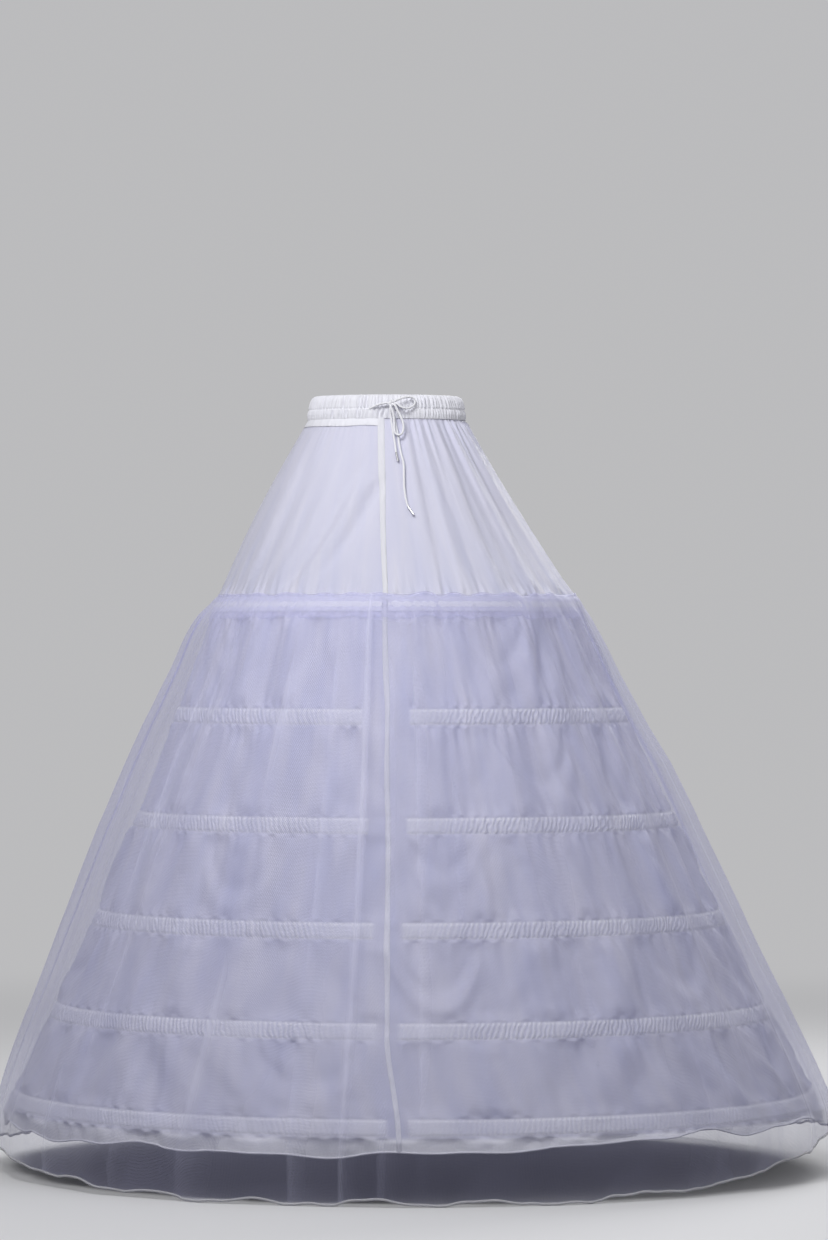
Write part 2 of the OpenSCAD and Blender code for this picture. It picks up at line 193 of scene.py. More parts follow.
# mesh from a grid of points in millimetres [row, column]: four neighbours make a face. joined closes the
# last column to the first, tube the last row to the first, and keep marks the columns that get faces. uv is
# the flat cut in metres, fan a map whose lines run down a gore, and values are numbers per point
def gridMesh(name, points, uv=None, fan=None, joined=False, tube=False, keep=None, values=None,
             material=None):
    rows, cols = points.shape[:2]
    index = np.arange(rows * cols).reshape(rows, cols)
    r = np.arange(rows if tube else rows - 1)
    c = np.arange(cols if joined else cols - 1)
    r, c = np.meshgrid(r, c, indexing="ij")
    rn, cn = (r + 1) % rows, (c + 1) % cols
    faces = np.stack([index[r, c], index[rn, c], index[rn, cn], index[r, cn]], axis=-1)
    r, c, faces = (item[:, keep] if keep is not None else item for item in (r, c, faces))
    mesh = bpy.data.meshes.new(name)
    mesh.from_pydata((points.reshape(-1, 3) / 1000).tolist(), [], faces.reshape(-1, 4).tolist())
    for label, flat in (("cloth", uv), ("fan", fan)):
        if flat is not None:
            corners = [flat[r, c], flat[r + 1, c], flat[r + 1, c + 1], flat[r, c + 1]]
            layer = mesh.uv_layers.new(name=label)
            layer.data.foreach_set("uv", np.stack(corners, axis=2).astype(np.float32).ravel())
    for key, value in (values or {}).items():
        data = mesh.attributes.new(key, "FLOAT", "POINT")
        data.data.foreach_set("value", np.ascontiguousarray(value, dtype=np.float32).ravel())
    mesh.shade_smooth()
    piece = bpy.data.objects.new(name, mesh)
    scene.collection.objects.link(piece)
    if material is not None:
        mesh.materials.append(material)
    return piece


# a finished piece rides on the one body and may stand for a solid, which is then hidden
def fitPiece(piece, node=None):
    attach(piece, "root")
    if node is not None:
        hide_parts(node)
    return piece


# smooth path through points: Catmull-Rom pieces, each cut into the same number of steps
def smoothPath(points, steps):
    p = np.asarray(points, float)
    i = np.arange(len(p) - 1)
    t = (np.arange(steps) / steps)[None, :, None]
    a, b, c, d = (p[np.clip(i + k, 0, len(p) - 1)][:, None, :] for k in (-1, 0, 1, 2))
    line = 0.5 * (2 * b + (c - a) * t + (2 * a - 5 * b + 4 * c - d) * t ** 2
                  + (3 * b - a - 3 * c + d) * t ** 3)
    return np.vstack([line.reshape(-1, 3), p[-1]])


# the same path in even steps, with its corners rounded: each pass moves a point halfway to the middle of its
# two neighbours
def evenPath(path, step, passes):
    run = runAlong(path)
    even = np.linspace(0, run[-1], round(run[-1] / step) + 1)
    path = np.stack([np.interp(even, run, path[:, k]) for k in range(3)], axis=1)
    for _ in range(passes):
        path[1:-1] = (path[:-2] + 2 * path[1:-1] + path[2:]) / 4
    return path


# round tube along a path: each ring stands square to the path, turned so that its first side faces one way
def tubePoints(path, radius, sides, facing=(0, 1, 0), closed=False):
    if closed:
        along = unit(np.roll(path, -1, 0) - np.roll(path, 1, 0))
    else:
        along = unit(np.gradient(path, axis=0))
    u = unit(np.cross(along, facing))
    v = np.cross(along, u)
    turn = ringAngles(sides)[None, :, None]
    return path[:, None] + radius * (np.cos(turn) * u[:, None] - np.sin(turn) * v[:, None])


# flat cut of a tube: the way along it and the way round it, in metres
def tubeUv(path, sides, width, closed=False):
    run = runAlong(np.vstack([path, path[:1]]) if closed else path) / 1000
    return np.stack(np.meshgrid(run, np.linspace(0, width / 1000, sides + 1), indexing="ij"), axis=-1)


# material whose plain values stand on the shader's own sockets
def newMaterial(name, **plain):
    material = bpy.data.materials.new(name)
    material.use_nodes = True
    tree = material.node_tree
    shader = tree.nodes["Principled BSDF"]
    for key, value in plain.items():
        shader.inputs[key.replace("_", " ")].default_value = (*value, 1) if key == "Base_Color" else value
    return material, tree, shader


# node with its settings, and each input linked where a socket is given and set where a value is
def addNode(tree, kind, inputs=None, **settings):
    node = tree.nodes.new(kind)
    for key, value in settings.items():
        setattr(node, key, value)
    for key, value in (inputs or {}).items():
        if isinstance(value, bpy.types.NodeSocket):
            tree.links.new(value, node.inputs[key])
        else:
            node.inputs[key].default_value = value
    return node


# one operation on two values, held between 0 and 1 by clamp
def addMath(tree, operation, a, b=0.5, clamp=False):
    return addNode(tree, "ShaderNodeMath", {0: a, 1: b}, operation=operation, use_clamp=clamp).outputs[0]


# soft noise from 0 to 1: its patches shrink with the scale, and detail adds finer layers
def addNoise(tree, vector, scale, detail):
    inputs = {"Vector": vector, "Scale": scale, "Detail": detail}
    return addNode(tree, "ShaderNodeTexNoise", inputs).outputs["Fac"]


# straight line from low to high in, to least and most out, and level beyond both ends
def addRange(tree, value, low, high, least=0.0, most=1.0):
    return addNode(tree, "ShaderNodeMapRange", {"Value": value, "From Min": low, "From Max": high,
                                                "To Min": least, "To Max": most}).outputs[0]


# bump: the shader's normal leans as if the height stood out by the depth, in metres
def addBump(tree, shader, height, depth, strength=1.0):
    bump = addNode(tree, "ShaderNodeBump", {"Height": height, "Strength": strength, "Distance": depth})
    tree.links.new(bump.outputs[0], shader.inputs["Normal"])


# straight mix from colour a to colour b; a colour is three numbers or a socket
def mixColour(tree, factor, a, b):
    inputs = {0: factor}
    for key, value in ((6, a), (7, b)):
        inputs[key] = (*value, 1) if isinstance(value, tuple) else value
    return addNode(tree, "ShaderNodeMix", inputs, data_type="RGBA").outputs[2]


# the flat cut of a piece, or another of its maps
def readUv(tree, name="cloth"):
    return addNode(tree, "ShaderNodeUVMap", uv_map=name).outputs[0]


# numbers per point that the mesh holds under a name
def readValue(tree, name):
    return addNode(tree, "ShaderNodeAttribute", attribute_name=name).outputs["Fac"]


# a map made longer or shorter along its two directions
def stretchMap(tree, vector, across, along):
    return addNode(tree, "ShaderNodeVectorMath", {0: vector, 1: (across, along, 1.0)},
                   operation="MULTIPLY").outputs[0]


# plain weave: two sets of threads at right angles, each a wave across the flat cut, plus slubs and soft
# creases, both drawn out along the cloth. Its tone is the slubs' own tone plus painted shade, darker in the
# creases' hollows and lighter on their crests
weaveLook = {"long": 0.22, "thread": 0.06, "slubs": 260.0, "slubTone": 0.4, "creaseShade": 0.6}


def weaveGroup():
    tree = bpy.data.node_groups.new("plainWeave", "ShaderNodeTree")
    for name, way in (("Threads", "INPUT"), ("Crease", "INPUT"), ("Height", "OUTPUT"), ("SlubsAndShade", "OUTPUT")):
        tree.interface.new_socket(name, in_out=way, socket_type="NodeSocketFloat")
    start = tree.nodes.new("NodeGroupInput")
    end = tree.nodes.new("NodeGroupOutput")
    uv = readUv(tree)
    split = addNode(tree, "ShaderNodeSeparateXYZ", {0: uv})
    warp, weft = (addMath(tree, "SINE", addMath(tree, "MULTIPLY", way, start.outputs["Threads"]))
                  for way in split.outputs[:2])
    threads = addMath(tree, "MULTIPLY", warp, weft)
    long = stretchMap(tree, uv, 1.0, weaveLook["long"])
    crease = addNoise(tree, long, start.outputs["Crease"], detail=3.0)
    slub = addNoise(tree, long, weaveLook["slubs"], detail=2.0)
    high = addMath(tree, "ADD", addMath(tree, "MULTIPLY", threads, weaveLook["thread"]), crease)
    tree.links.new(high, end.inputs["Height"])
    tone = addMath(tree, "ADD", addMath(tree, "MULTIPLY", slub, weaveLook["slubTone"]),
                   addMath(tree, "MULTIPLY", crease, weaveLook["creaseShade"]))
    tree.links.new(tone, end.inputs["SlubsAndShade"])
    return tree


weave = weaveGroup()


# the weave in a material, with its own threads and crease
def addWeave(tree, threads, crease):
    return addNode(tree, "ShaderNodeGroup", {"Threads": threads, "Crease": crease}, node_tree=weave)


# thin lining satin: lavender white, with painted sheen streaks down the cloth, lit ones and cool shaded ones,
# and painted shade that makes it greyer and darker towards the floor. Along the hoop channels the cloth is
# doubled, so it is whiter, with painted highlights along its ridges, and slanted little gathers run across
# it: waves along the cut that wander and come and go, with painted shade in their grooves and painted
# highlight on their crests, shown in random patches. Below the bottom hoop the flounce is painted whiter, for
# cloth folded double and as painted light on a shaded band. Four numbers are a range in and out
satinLook = {"cloth": (0.75, 0.74, 0.86), "shadeStreak": (0.60, 0.615, 0.82), "low": (0.645, 0.635, 0.69),
             "lowShadeStreak": (0.465, 0.475, 0.625), "doubledAndLit": (0.96, 0.96, 1.0), "grooveShade": (0.70, 0.705, 0.82),
             "threads": 5200.0, "crease": 22.0, "depth": 0.0022, "gather": 0.0075, "gatherHigh": 0.24,
             "wander": 9.0, "wanderScale": 55.0, "patchScale": 14.0, "patchy": (0.34, 0.52, 0.35, 1.0),
             "streakScale": 24.0, "streakLong": 0.2, "sheenShadeStreak": (0.25, 0.72, 0.0, 1.0), "plain": 0.72,
             "gain": (0.1, 0.36, 0.3, 1.0), "shadeDown": (0.35, 1.1, 0.0, 0.7), "fold": (-0.9, 0.4, 0.0, 1.0),
             "channelPatchScale": 9.0, "channelPatches": (0.35, 0.65, 0.6, 1.0), "gloss": (0.0, 1.0, 0.30, 0.48)}


def liningSatin():
    look = satinLook
    material, tree, shader = newMaterial("liningSatin", Sheen_Weight=0.15, Sheen_Roughness=0.4)
    group = addWeave(tree, look["threads"], look["crease"])
    uv = readUv(tree)
    split = addNode(tree, "ShaderNodeSeparateXYZ", {0: uv})
    slant = addMath(tree, "ADD", split.outputs[0], readValue(tree, "shear"))
    wander = addNoise(tree, uv, look["wanderScale"], detail=2.0)
    wander = addMath(tree, "MULTIPLY", wander, look["wander"])
    turn = addMath(tree, "ADD", addMath(tree, "MULTIPLY", slant, tau / look["gather"]), wander)
    patchy = addRange(tree, addNoise(tree, uv, look["patchScale"], detail=1.0), *look["patchy"])
    gather = addMath(tree, "MULTIPLY", addMath(tree, "SINE", turn), readValue(tree, "ruched"))
    gather = addMath(tree, "MULTIPLY", gather, patchy)
    raised = addMath(tree, "MULTIPLY", gather, look["gatherHigh"])
    addBump(tree, shader, addMath(tree, "ADD", group.outputs["Height"], raised), look["depth"])
    fan = readUv(tree, "fan")
    down = addNode(tree, "ShaderNodeSeparateXYZ", {0: fan}).outputs[1]
    # painted sheen and painted shade: streaks down the cloth, lighter and warmer where lit, cooler where
    # shaded
    sheenShadeStreak = stretchMap(tree, fan, 1.0, look["streakLong"])
    sheenShadeStreak = addNoise(tree, sheenShadeStreak, look["streakScale"], detail=3.0)
    sheenShadeStreak = addMath(tree, "SUBTRACT", addRange(tree, sheenShadeStreak, *look["sheenShadeStreak"]), look["plain"])
    sheenShadeStreak = addMath(tree, "MULTIPLY", sheenShadeStreak, addRange(tree, down, *look["gain"]))
    bright = addMath(tree, "ADD", sheenShadeStreak, look["plain"])
    high = mixColour(tree, bright, look["shadeStreak"], look["cloth"])
    # painted shade: the lower tiers take greyer, darker colours, and the mix turns to them towards the floor
    low = mixColour(tree, bright, look["lowShadeStreak"], look["low"])
    cloth = mixColour(tree, addRange(tree, down, *look["shadeDown"]), high, low)
    # painted light and doubled cloth: the flounce below the bottom hoop is painted whiter
    cloth = mixColour(tree, readValue(tree, "folded"), cloth, look["doubledAndLit"])
    # painted shade in the gathers' grooves and painted highlight on their crests
    channel = mixColour(tree, addRange(tree, gather, *look["fold"]), look["grooveShade"], look["doubledAndLit"])
    channelPatches = addRange(tree, addNoise(tree, uv, look["channelPatchScale"], detail=1.0), *look["channelPatches"])
    # where the cloth is doubled the channel colour shows, with its painted highlights and shade, in random
    # patches
    colour = mixColour(tree, addMath(tree, "MULTIPLY", readValue(tree, "doubledAndLit"), channelPatches), cloth, channel)
    tree.links.new(colour, shader.inputs["Base Color"])
    tree.links.new(addRange(tree, group.outputs["SlubsAndShade"], *look["gloss"]), shader.inputs["Roughness"])
    return material


# net: hexagon cells with thin threads. Edge-on the threads close up, and doubled cloth hides more, so the
# cover is the sum of the three. Where the net is doubled its colour is also painted whiter, as painted light
# over folds that lie in shade
netLook = {"thread": (0.62, 0.62, 0.93), "white": (0.77, 0.77, 1.0), "cells": 520.0, "uneven": 0.25,
           "threadEdge": (0.08, 0.2), "closed": 0.25, "open": 0.09, "facing": 0.35, "edge": 0.30,
           "doubledAndLit": 0.26, "toneScale": 18.0, "tone": 0.07}


def tulleNet():
    look = netLook
    material, tree, shader = newMaterial("tulleNet", Roughness=0.55, Sheen_Weight=0.2)
    uv = readUv(tree)
    cell = addNode(tree, "ShaderNodeTexVoronoi", {"Vector": uv, "Scale": look["cells"],
                                                  "Randomness": look["uneven"]},
                   feature="DISTANCE_TO_EDGE", voronoi_dimensions="2D")
    thread = addRange(tree, cell.outputs["Distance"], *look["threadEdge"], look["closed"], look["open"])
    facing = addNode(tree, "ShaderNodeLayerWeight", {"Blend": look["facing"]})
    edge = addMath(tree, "MULTIPLY", facing.outputs["Facing"], look["edge"])
    doubledAndLit = readValue(tree, "doubledAndLit")
    more = addMath(tree, "MULTIPLY", doubledAndLit, look["doubledAndLit"])
    cover = addMath(tree, "ADD", addMath(tree, "ADD", thread, edge), more, True)
    tree.links.new(cover, shader.inputs["Alpha"])
    dark, light = (tuple(share * part for part in look["thread"])
                   for share in (1 - look["tone"], 1 + look["tone"]))
    colour = mixColour(tree, addNoise(tree, uv, look["toneScale"], detail=2.0), dark, light)
    # painted light: the net's colour turns whiter where it is doubled, most of all in the band at its top
    # fold
    colour = mixColour(tree, doubledAndLit, colour, look["white"])
    tree.links.new(colour, shader.inputs["Base Color"])
    return material


# bright white cotton for tapes, seam strips, rolled hems and waist cloth: the plain weave, toned by its slubs
# and by painted shade in its creases
tapeLook = {"light": (0.87, 0.87, 0.92), "dark": (0.74, 0.74, 0.82), "threads": 4200.0, "rough": (0.6, 0.8)}


def whiteTape(name, crease, depth, tint=1.0, **plain):
    material, tree, shader = newMaterial(name, Sheen_Weight=0.25, **plain)
    group = addWeave(tree, tapeLook["threads"], crease)
    addBump(tree, shader, group.outputs["Height"], depth)
    dark, light = (tuple(tint * part for part in tapeLook[key]) for key in ("dark", "light"))
    # slub tone with painted shade: darker in the creases' hollows, lighter on their crests
    colour = mixColour(tree, group.outputs["SlubsAndShade"], dark, light)
    tree.links.new(colour, shader.inputs["Base Color"])
    rough = addRange(tree, group.outputs["SlubsAndShade"], 0.0, 1.0, *tapeLook["rough"])
    tree.links.new(rough, shader.inputs["Roughness"])
    return material


# finishes of the solids, which have no flat cut: a fine noise gives tone, roughness and grain
solidLook = {"detail": 4.0, "smoother": 0.08, "rougher": 0.1, "grain": 0.0004, "strength": 0.35}


def solidFinish(name, light, dark, scale, rough, metal=0.0):
    material, tree, shader = newMaterial(name, Metallic=metal)
    place = tree.nodes.new("ShaderNodeTexCoord")
    grain = addNoise(tree, place.outputs["Object"], scale, solidLook["detail"])
    tree.links.new(mixColour(tree, grain, dark, light), shader.inputs["Base Color"])
    spread = addRange(tree, grain, 0.0, 1.0, rough - solidLook["smoother"], rough + solidLook["rougher"])
    tree.links.new(spread, shader.inputs["Roughness"])
    addBump(tree, shader, grain, solidLook["grain"], solidLook["strength"])
    return material


# braided cord: two crossing spirals on the tube's flat cut, the higher of two waves, which also paint shade
# between the strands and highlight on them; wrap is the cut's width and pitch a thread's length, in
# millimetres
braid = {"wrap": 10.0, "pitch": 2.4, "threads": 3, "dark": (0.78, 0.78, 0.86), "light": (0.95, 0.95, 0.98),
         "depth": 0.0003, "strength": 0.7}


def braidedCord():
    material, tree, shader = newMaterial("braidedCord", Roughness=0.65, Sheen_Weight=0.2)
    split = addNode(tree, "ShaderNodeSeparateXYZ", {0: readUv(tree)})
    run = addMath(tree, "MULTIPLY", split.outputs[0], tau * 1000 / braid["pitch"])
    turn = addMath(tree, "MULTIPLY", split.outputs[1], braid["threads"] * tau * 1000 / braid["wrap"])
    left, right = (addMath(tree, "SINE", addMath(tree, way, run, turn)) for way in ("ADD", "SUBTRACT"))
    high = addMath(tree, "MAXIMUM", left, right)
    addBump(tree, shader, high, braid["depth"], braid["strength"])
    # painted shade between the braid's strands, lighter on their crests
    colour = mixColour(tree, addRange(tree, high, -1.0, 1.0), braid["dark"], braid["light"])
    tree.links.new(colour, shader.inputs["Base Color"])
    return material


satin = liningSatin()
net = tulleNet()
tapeCloth = whiteTape("tapeCloth", crease=60.0, depth=0.0012)
waistCloth = whiteTape("waistCloth", crease=90.0, depth=0.0012)
seamCloth = whiteTape("seamCloth", crease=150.0, depth=0.0016, tint=0.93)
# the net's hem is thin: it shows what is behind it and lets light through
hemCloth = whiteTape("hemCloth", crease=60.0, depth=0.0012, Alpha=0.65, Subsurface_Weight=0.8,
                     Subsurface_Radius=(1, 1, 1), Subsurface_Scale=0.005)
cordCloth = braidedCord()
tapeSolid = solidFinish("tapeSolid", (0.88, 0.88, 0.93), (0.74, 0.74, 0.82), scale=900.0, rough=0.7)
hoopStrip = solidFinish("hoopStrip", (0.80, 0.81, 0.84), (0.66, 0.67, 0.70), scale=120.0, rough=0.35)
brightMetal = solidFinish("brightMetal", (0.66, 0.66, 0.67), (0.50, 0.50, 0.51), scale=400.0, rough=0.28,
                          metal=1.0)
print("materials made")


# the bow, in millimetres. Points are measured right of the waist's middle, below its top edge and in front of
# the cloth; the third point of a lead is the buttonhole. A way is a direction out of the knot
cord = {"diameter": 3.2, "sides": 12, "knot": 10.0, "leave": (0.1, 3.0), "tip": 2.0, "hole": 2,
        "pathSteps": 5, "step": 1.0, "passes": 12}
knotLook = {"place": (8, 13, 9.4), "points": 240, "big": 2.5, "small": 1.3, "deep": 1.5, "radius": 1.75,
            "facing": (0.2, 0.9, 0.1)}
strands = {
    "left": {"lead": [(-34, 22, 0.3), (-28, 21.5, 0.3), (-22, 20, 3.3), (-16, 17, 7), (-7, 14, 8.8)],
             "leadWay": (-5, 0, 0), "loopOut": (-1.5, -3.3, -3.5),
             "loop": [(9, 25, 13), (11, 37, 12), (11.6, 50, 9), (13, 57.5, 8.2), (18, 60.5, 8),
                      (23.2, 57.5, 9), (24.7, 50, 11), (24.2, 42, 12.8), (20, 31, 14), (14.5, 21, 13.5)],
             "loopBack": (3.4, -2.9, -2.4), "tailWay": (-2, 0.9, -4.6),
             "tail": [(5.5, 24, 6.5), (6.5, 32, 6), (8, 44, 4), (10, 58, 3), (12.5, 72, 2.6), (14, 84, 2.6)],
             "tip": (17, 98, 2.8)},
    "right": {"lead": [(37, 22, 0.3), (31, 21.5, 0.3), (25, 20, 3.3), (20, 17, 7), (17, 14.5, 8)],
              "leadWay": (4.3, 2.3, -1.5), "loopOut": (4.2, -0.5, 2.8),
              "loop": [(20, 7, 12), (30, 4, 11), (39, 5.5, 8), (42, 11, 7), (39, 17, 7.5), (30, 21, 10),
                       (21, 19, 13)],
              "loopBack": (5, -0.8, -0.3), "tailWay": (0.5, 1.2, -4.9),
              "tail": [(9.5, 24, 6.5), (11, 32, 6), (13.5, 44, 4), (16.5, 58, 3), (18.5, 72, 2.6),
                       (21, 86, 2.6), (25, 102, 2.6), (25.5, 120, 2.6), (26, 137, 2.6), (28, 152, 2.6),
                       (30.5, 163, 2.6)],
              "tip": (39.5, 176, 2.8)}}


# in front of the cloth: x and z are plain, y follows the oval of that height
def spots(points):
    p = np.asarray(points, float).reshape(-1, 3)
    x = p[:, 0] - skirt["lean"]
    z = skirt["waistZ"] - p[:, 1]
    across = (x - axisX(z)) / skirtX(z)
    return np.stack([x, -skirtY(z) * np.sqrt(1 - across ** 2) - p[:, 2], z], axis=1)


knotPlace = spots(knotLook["place"])[0]


# two points where a strand leaves the knot in a direction, nearest first
def fromKnot(direction):
    reach = cord["knot"] / 2 + np.array(cord["leave"])
    return knotPlace + np.outer(reach, unit(np.asarray(direction, float)))


# a strand: in to the knot, out round its loop, back to the knot, then out along its tail to the metal tip
def strandPath(strand):
    end = spots(strand["tail"])[-1]
    last = end + unit(spots(strand["tip"])[0] - end) * cord["tip"]
    points = np.vstack([spots(strand["lead"]), fromKnot(strand["leadWay"])[::-1], fromKnot(strand["loopOut"]),
                        spots(strand["loop"]), fromKnot(strand["loopBack"])[::-1],
                        fromKnot(strand["tailWay"]), spots(strand["tail"]), last[None]])
    return evenPath(smoothPath(points, cord["pathSteps"]), cord["step"], cord["passes"])


# a round tube along the strand's path
def makeStrand(side):
    node = "drawstring_" + side
    path = strandPath(strands[side])
    piece = gridMesh(node + "_strand", tubePoints(path, cord["diameter"] / 2, cord["sides"]),
                     tubeUv(path, cord["sides"], braid["wrap"]), joined=True, material=cordCloth)
    fitPiece(piece, node)


# knot: a trefoil of cord, two turns round a ring that rise and fall three times
def makeKnot():
    t = ringAngles(knotLook["points"])
    reach = knotLook["big"] + knotLook["small"] * np.cos(3 * t)
    deep = knotLook["small"] * knotLook["deep"] * np.sin(3 * t)
    path = knotPlace + np.stack([reach * np.cos(2 * t), deep, reach * np.sin(2 * t)], axis=1)
    points = tubePoints(path, knotLook["radius"], cord["sides"], knotLook["facing"], closed=True)
    piece = gridMesh("bow_knot", points, tubeUv(path, cord["sides"], braid["wrap"], closed=True),
                     joined=True, tube=True, material=cordCloth)
    return fitPiece(piece, "drawstring_knot")


knot = makeKnot()
makeStrand("left")
makeStrand("right")


# cloth for the drape: rings of points on the plain profile, sewn at the waist and along every hoop; it is cut
# fuller and longer than that, so it buckles and sags between the rows that hold it. The limits say how far it
# moves, in millimetres, and a pair is a start and a length of fade
drape = {"cols": 176, "frames": 30, "full": 1.08, "long": 1.04, "yokeRows": 16, "tierRows": 9, "hemRows": 4,
         "nudge": 2.5, "waves": (9, 34), "shift": 1.7, "seed": 7,
         "outLimit": (-13, 5), "sideLimit": (-8, 8), "upLimit": (-12, 8), "upFade": 30.0,
         "rightSide": (-0.15, 0.6), "yokeFade": 60.0, "rightNudge": 0.8, "seamFull": 0.75,
         "seamFade": (0.1, 0.35), "gather": 1.1, "gatherLow": 0.3, "gatherHigh": 0.9, "gatherLess": 0.1,
         "looseSoon": 3.0, "stillFade": 40.0, "stillLeft": 0.85, "stillRight": 0.4}
clothSettings = {"quality": 7, "mass": 0.12, "tension_stiffness": 18, "compression_stiffness": 18,
                 "shear_stiffness": 6, "bending_stiffness": 4, "tension_damping": 8,
                 "compression_damping": 8, "shear_damping": 8, "bending_damping": 1, "air_damping": 2,
                 "vertex_group_mass": "sewn"}


# heights of the rings from the waist down, and which are sewn: the first, and those on a hoop's flat band
def drapeRows():
    flat = skirt["flat"]
    parts = [np.linspace(skirt["seamZ"], hoopZ[0] + flat, drape["yokeRows"])]
    for k in range(skirt["hoops"]):
        if k > 0:
            parts.append(np.linspace(hoopZ[k - 1] - flat, hoopZ[k] + flat, drape["tierRows"])[1:])
        parts.append(np.array([hoopZ[k], hoopZ[k] - flat]))
    parts.append(np.linspace(hoopZ[-1] - flat, skirt["hemZ"], drape["hemRows"])[1:])
    rowZ = np.concatenate(parts)
    onHoop = np.abs(rowZ[:, None] - hoopZ[None, :]).min(axis=1) < flat + 1
    return rowZ, onHoop | (rowZ == skirt["seamZ"])


# where the cloth starts: the profile with seeded waves, fewer above the top hoop on the left. Its cut: the
# profile times the fullness round the skirt and times the length downwards, plainer near front and back
def drapeShapes(rowZ, sewn, angle, right):
    base = onOval(angle[None, :], rowZ[:, None])
    shift = drape["shift"] * np.searchsorted(-hoopZ, -rowZ)[:, None]
    upper = ease((rowZ - hoopZ[0]) / drape["yokeFade"])[:, None]
    wave = drape["nudge"] * wavy(angle[None, :] + shift, *drape["waves"], drape["seed"])
    nudge = np.where(sewn[:, None], 0, wave) * (1 - upper * (1 - drape["rightNudge"] * right))
    start = base + nudge[..., None] * outwards(angle)[None]
    away = after(np.minimum(turnFrom(angle, front), turnFrom(angle, behind)), drape["seamFade"])[None, :]
    calm = drape["seamFull"] + (1 - drape["seamFull"]) * away
    high = yokeShare(rowZ)[:, None]
    gathered = drape["gather"] * right * (drape["gatherLow"] + drape["gatherHigh"] * high)
    gathered = gathered - drape["gatherLess"]
    full = 1 + (drape["full"] - 1) * ((1 - upper) * calm + upper * gathered)
    loose = 1 + (drape["long"] - 1) * right * np.minimum(high * drape["looseSoon"], 1)
    cut = base.copy()
    cut[..., :2] *= full[..., None]
    cut[..., 2] = np.where(rowZ[:, None] > hoopZ[0],
                           hoopZ[0] * drape["long"] + (base[..., 2] - hoopZ[0]) * loose,
                           base[..., 2] * drape["long"])
    return base, start, cut


# the drape: how far the simulated cloth moves out, sideways and up from the profile, less above the top hoop
def drapeLining():
    rowZ, sewn = drapeRows()
    angle = ringAngles(drape["cols"])
    right = after(np.cos(angle), drape["rightSide"])[None, :]
    base, start, cut = drapeShapes(rowZ, sewn, angle, right)
    piece = gridMesh("drape", start, joined=True)
    piece.shape_key_add(name="Basis")
    key = piece.shape_key_add(name="cut")
    key.data.foreach_set("co", (cut / 1000).astype(np.float32).ravel())
    group = piece.vertex_groups.new(name="sewn")
    group.add(np.flatnonzero(np.repeat(sewn, drape["cols"])).tolist(), 1.0, "REPLACE")
    cloth = piece.modifiers.new("drape", "CLOTH")
    for name, value in clothSettings.items():
        setattr(cloth.settings, name, value)
    cloth.settings.rest_shape_key = key
    cloth.collision_settings.use_collision = False
    cloth.point_cache.frame_start = 1
    cloth.point_cache.frame_end = drape["frames"]
    for step in range(1, drape["frames"] + 1):
        scene.frame_set(step)
    done = piece.evaluated_get(bpy.context.evaluated_depsgraph_get()).to_mesh()
    place = np.zeros(base.size, np.float32)
    done.vertices.foreach_get("co", place)
    moved = place.reshape(base.shape) * 1000 - base
    scene.frame_set(1)
    bpy.data.objects.remove(piece)
    out = moved[..., 0] * np.cos(angle) + moved[..., 1] * np.sin(angle)
    side = -moved[..., 0] * np.sin(angle) + moved[..., 1] * np.cos(angle)
    print("drape reach", [round(float(v), 1) for v in np.percentile(out, [0, 2, 50, 98, 100])])
    field = np.stack([np.clip(out, *drape["outLimit"]), np.clip(side, *drape["sideLimit"]),
                      np.clip(moved[..., 2], *drape["upLimit"])], axis=-1)
    still = ease((rowZ - hoopZ[0]) / drape["stillFade"])[:, None]
    still = still * (drape["stillLeft"] - drape["stillRight"] * right)
    return rowZ, field * (1 - still)[..., None]


drapeZ, drapeField = drapeLining()
print("lining draped")


# shares of four neighbours at t between the middle two: Catmull-Rom
def cubicShares(t):
    return ((-t + 2 * t ** 2 - t ** 3) / 2, (2 - 5 * t ** 2 + 3 * t ** 3) / 2,
            (t + 4 * t ** 2 - 3 * t ** 3) / 2, (t ** 3 - t ** 2) / 2)


# value of the drape between its points: cubic in both directions, round the skirt without a seam
def readDrape(angle, z):
    rows, cols = drapeField.shape[:2]
    row = np.interp(-z, -drapeZ, np.arange(rows))
    col = (angle % tau) / tau * cols
    r0 = np.clip(np.floor(row).astype(int), 0, rows - 2)
    c0 = np.floor(col).astype(int)
    rowShares, colShares = cubicShares(row - r0), cubicShares(col - c0)
    total = 0
    for i in range(4):
        for j in range(4):
            near = drapeField[np.clip(r0 + i - 1, 0, rows - 1), (c0 + j - 1) % cols]
            total = total + (rowShares[i] * colShares[j])[..., None] * near
    return total


# the lining: four gores from the front seam round, with close rows in a band above and below each hoop. Its
# flat cut is in metres, and below the bottom hoop it is folded double and its colour is painted whiter, as
# painted light on the flounce, which lies in shade
lining = {"seam": math.radians(266.4), "cols": 224, "band": 20.0, "yokeRows": 44, "bandRows": 22,
          "tierRows": 22, "hemRows": 7, "flat": (0.95, 1.16), "area": 0.70, "fan": 0.4, "folded": 0.85,
          "foldedFrom": 10.0, "foldedFade": 8.0}


# angle to the nearer of the front and back seams
def fromSeams(angle):
    return np.minimum(turnFrom(angle, lining["seam"]), turnFrom(angle, lining["seam"] + math.pi))


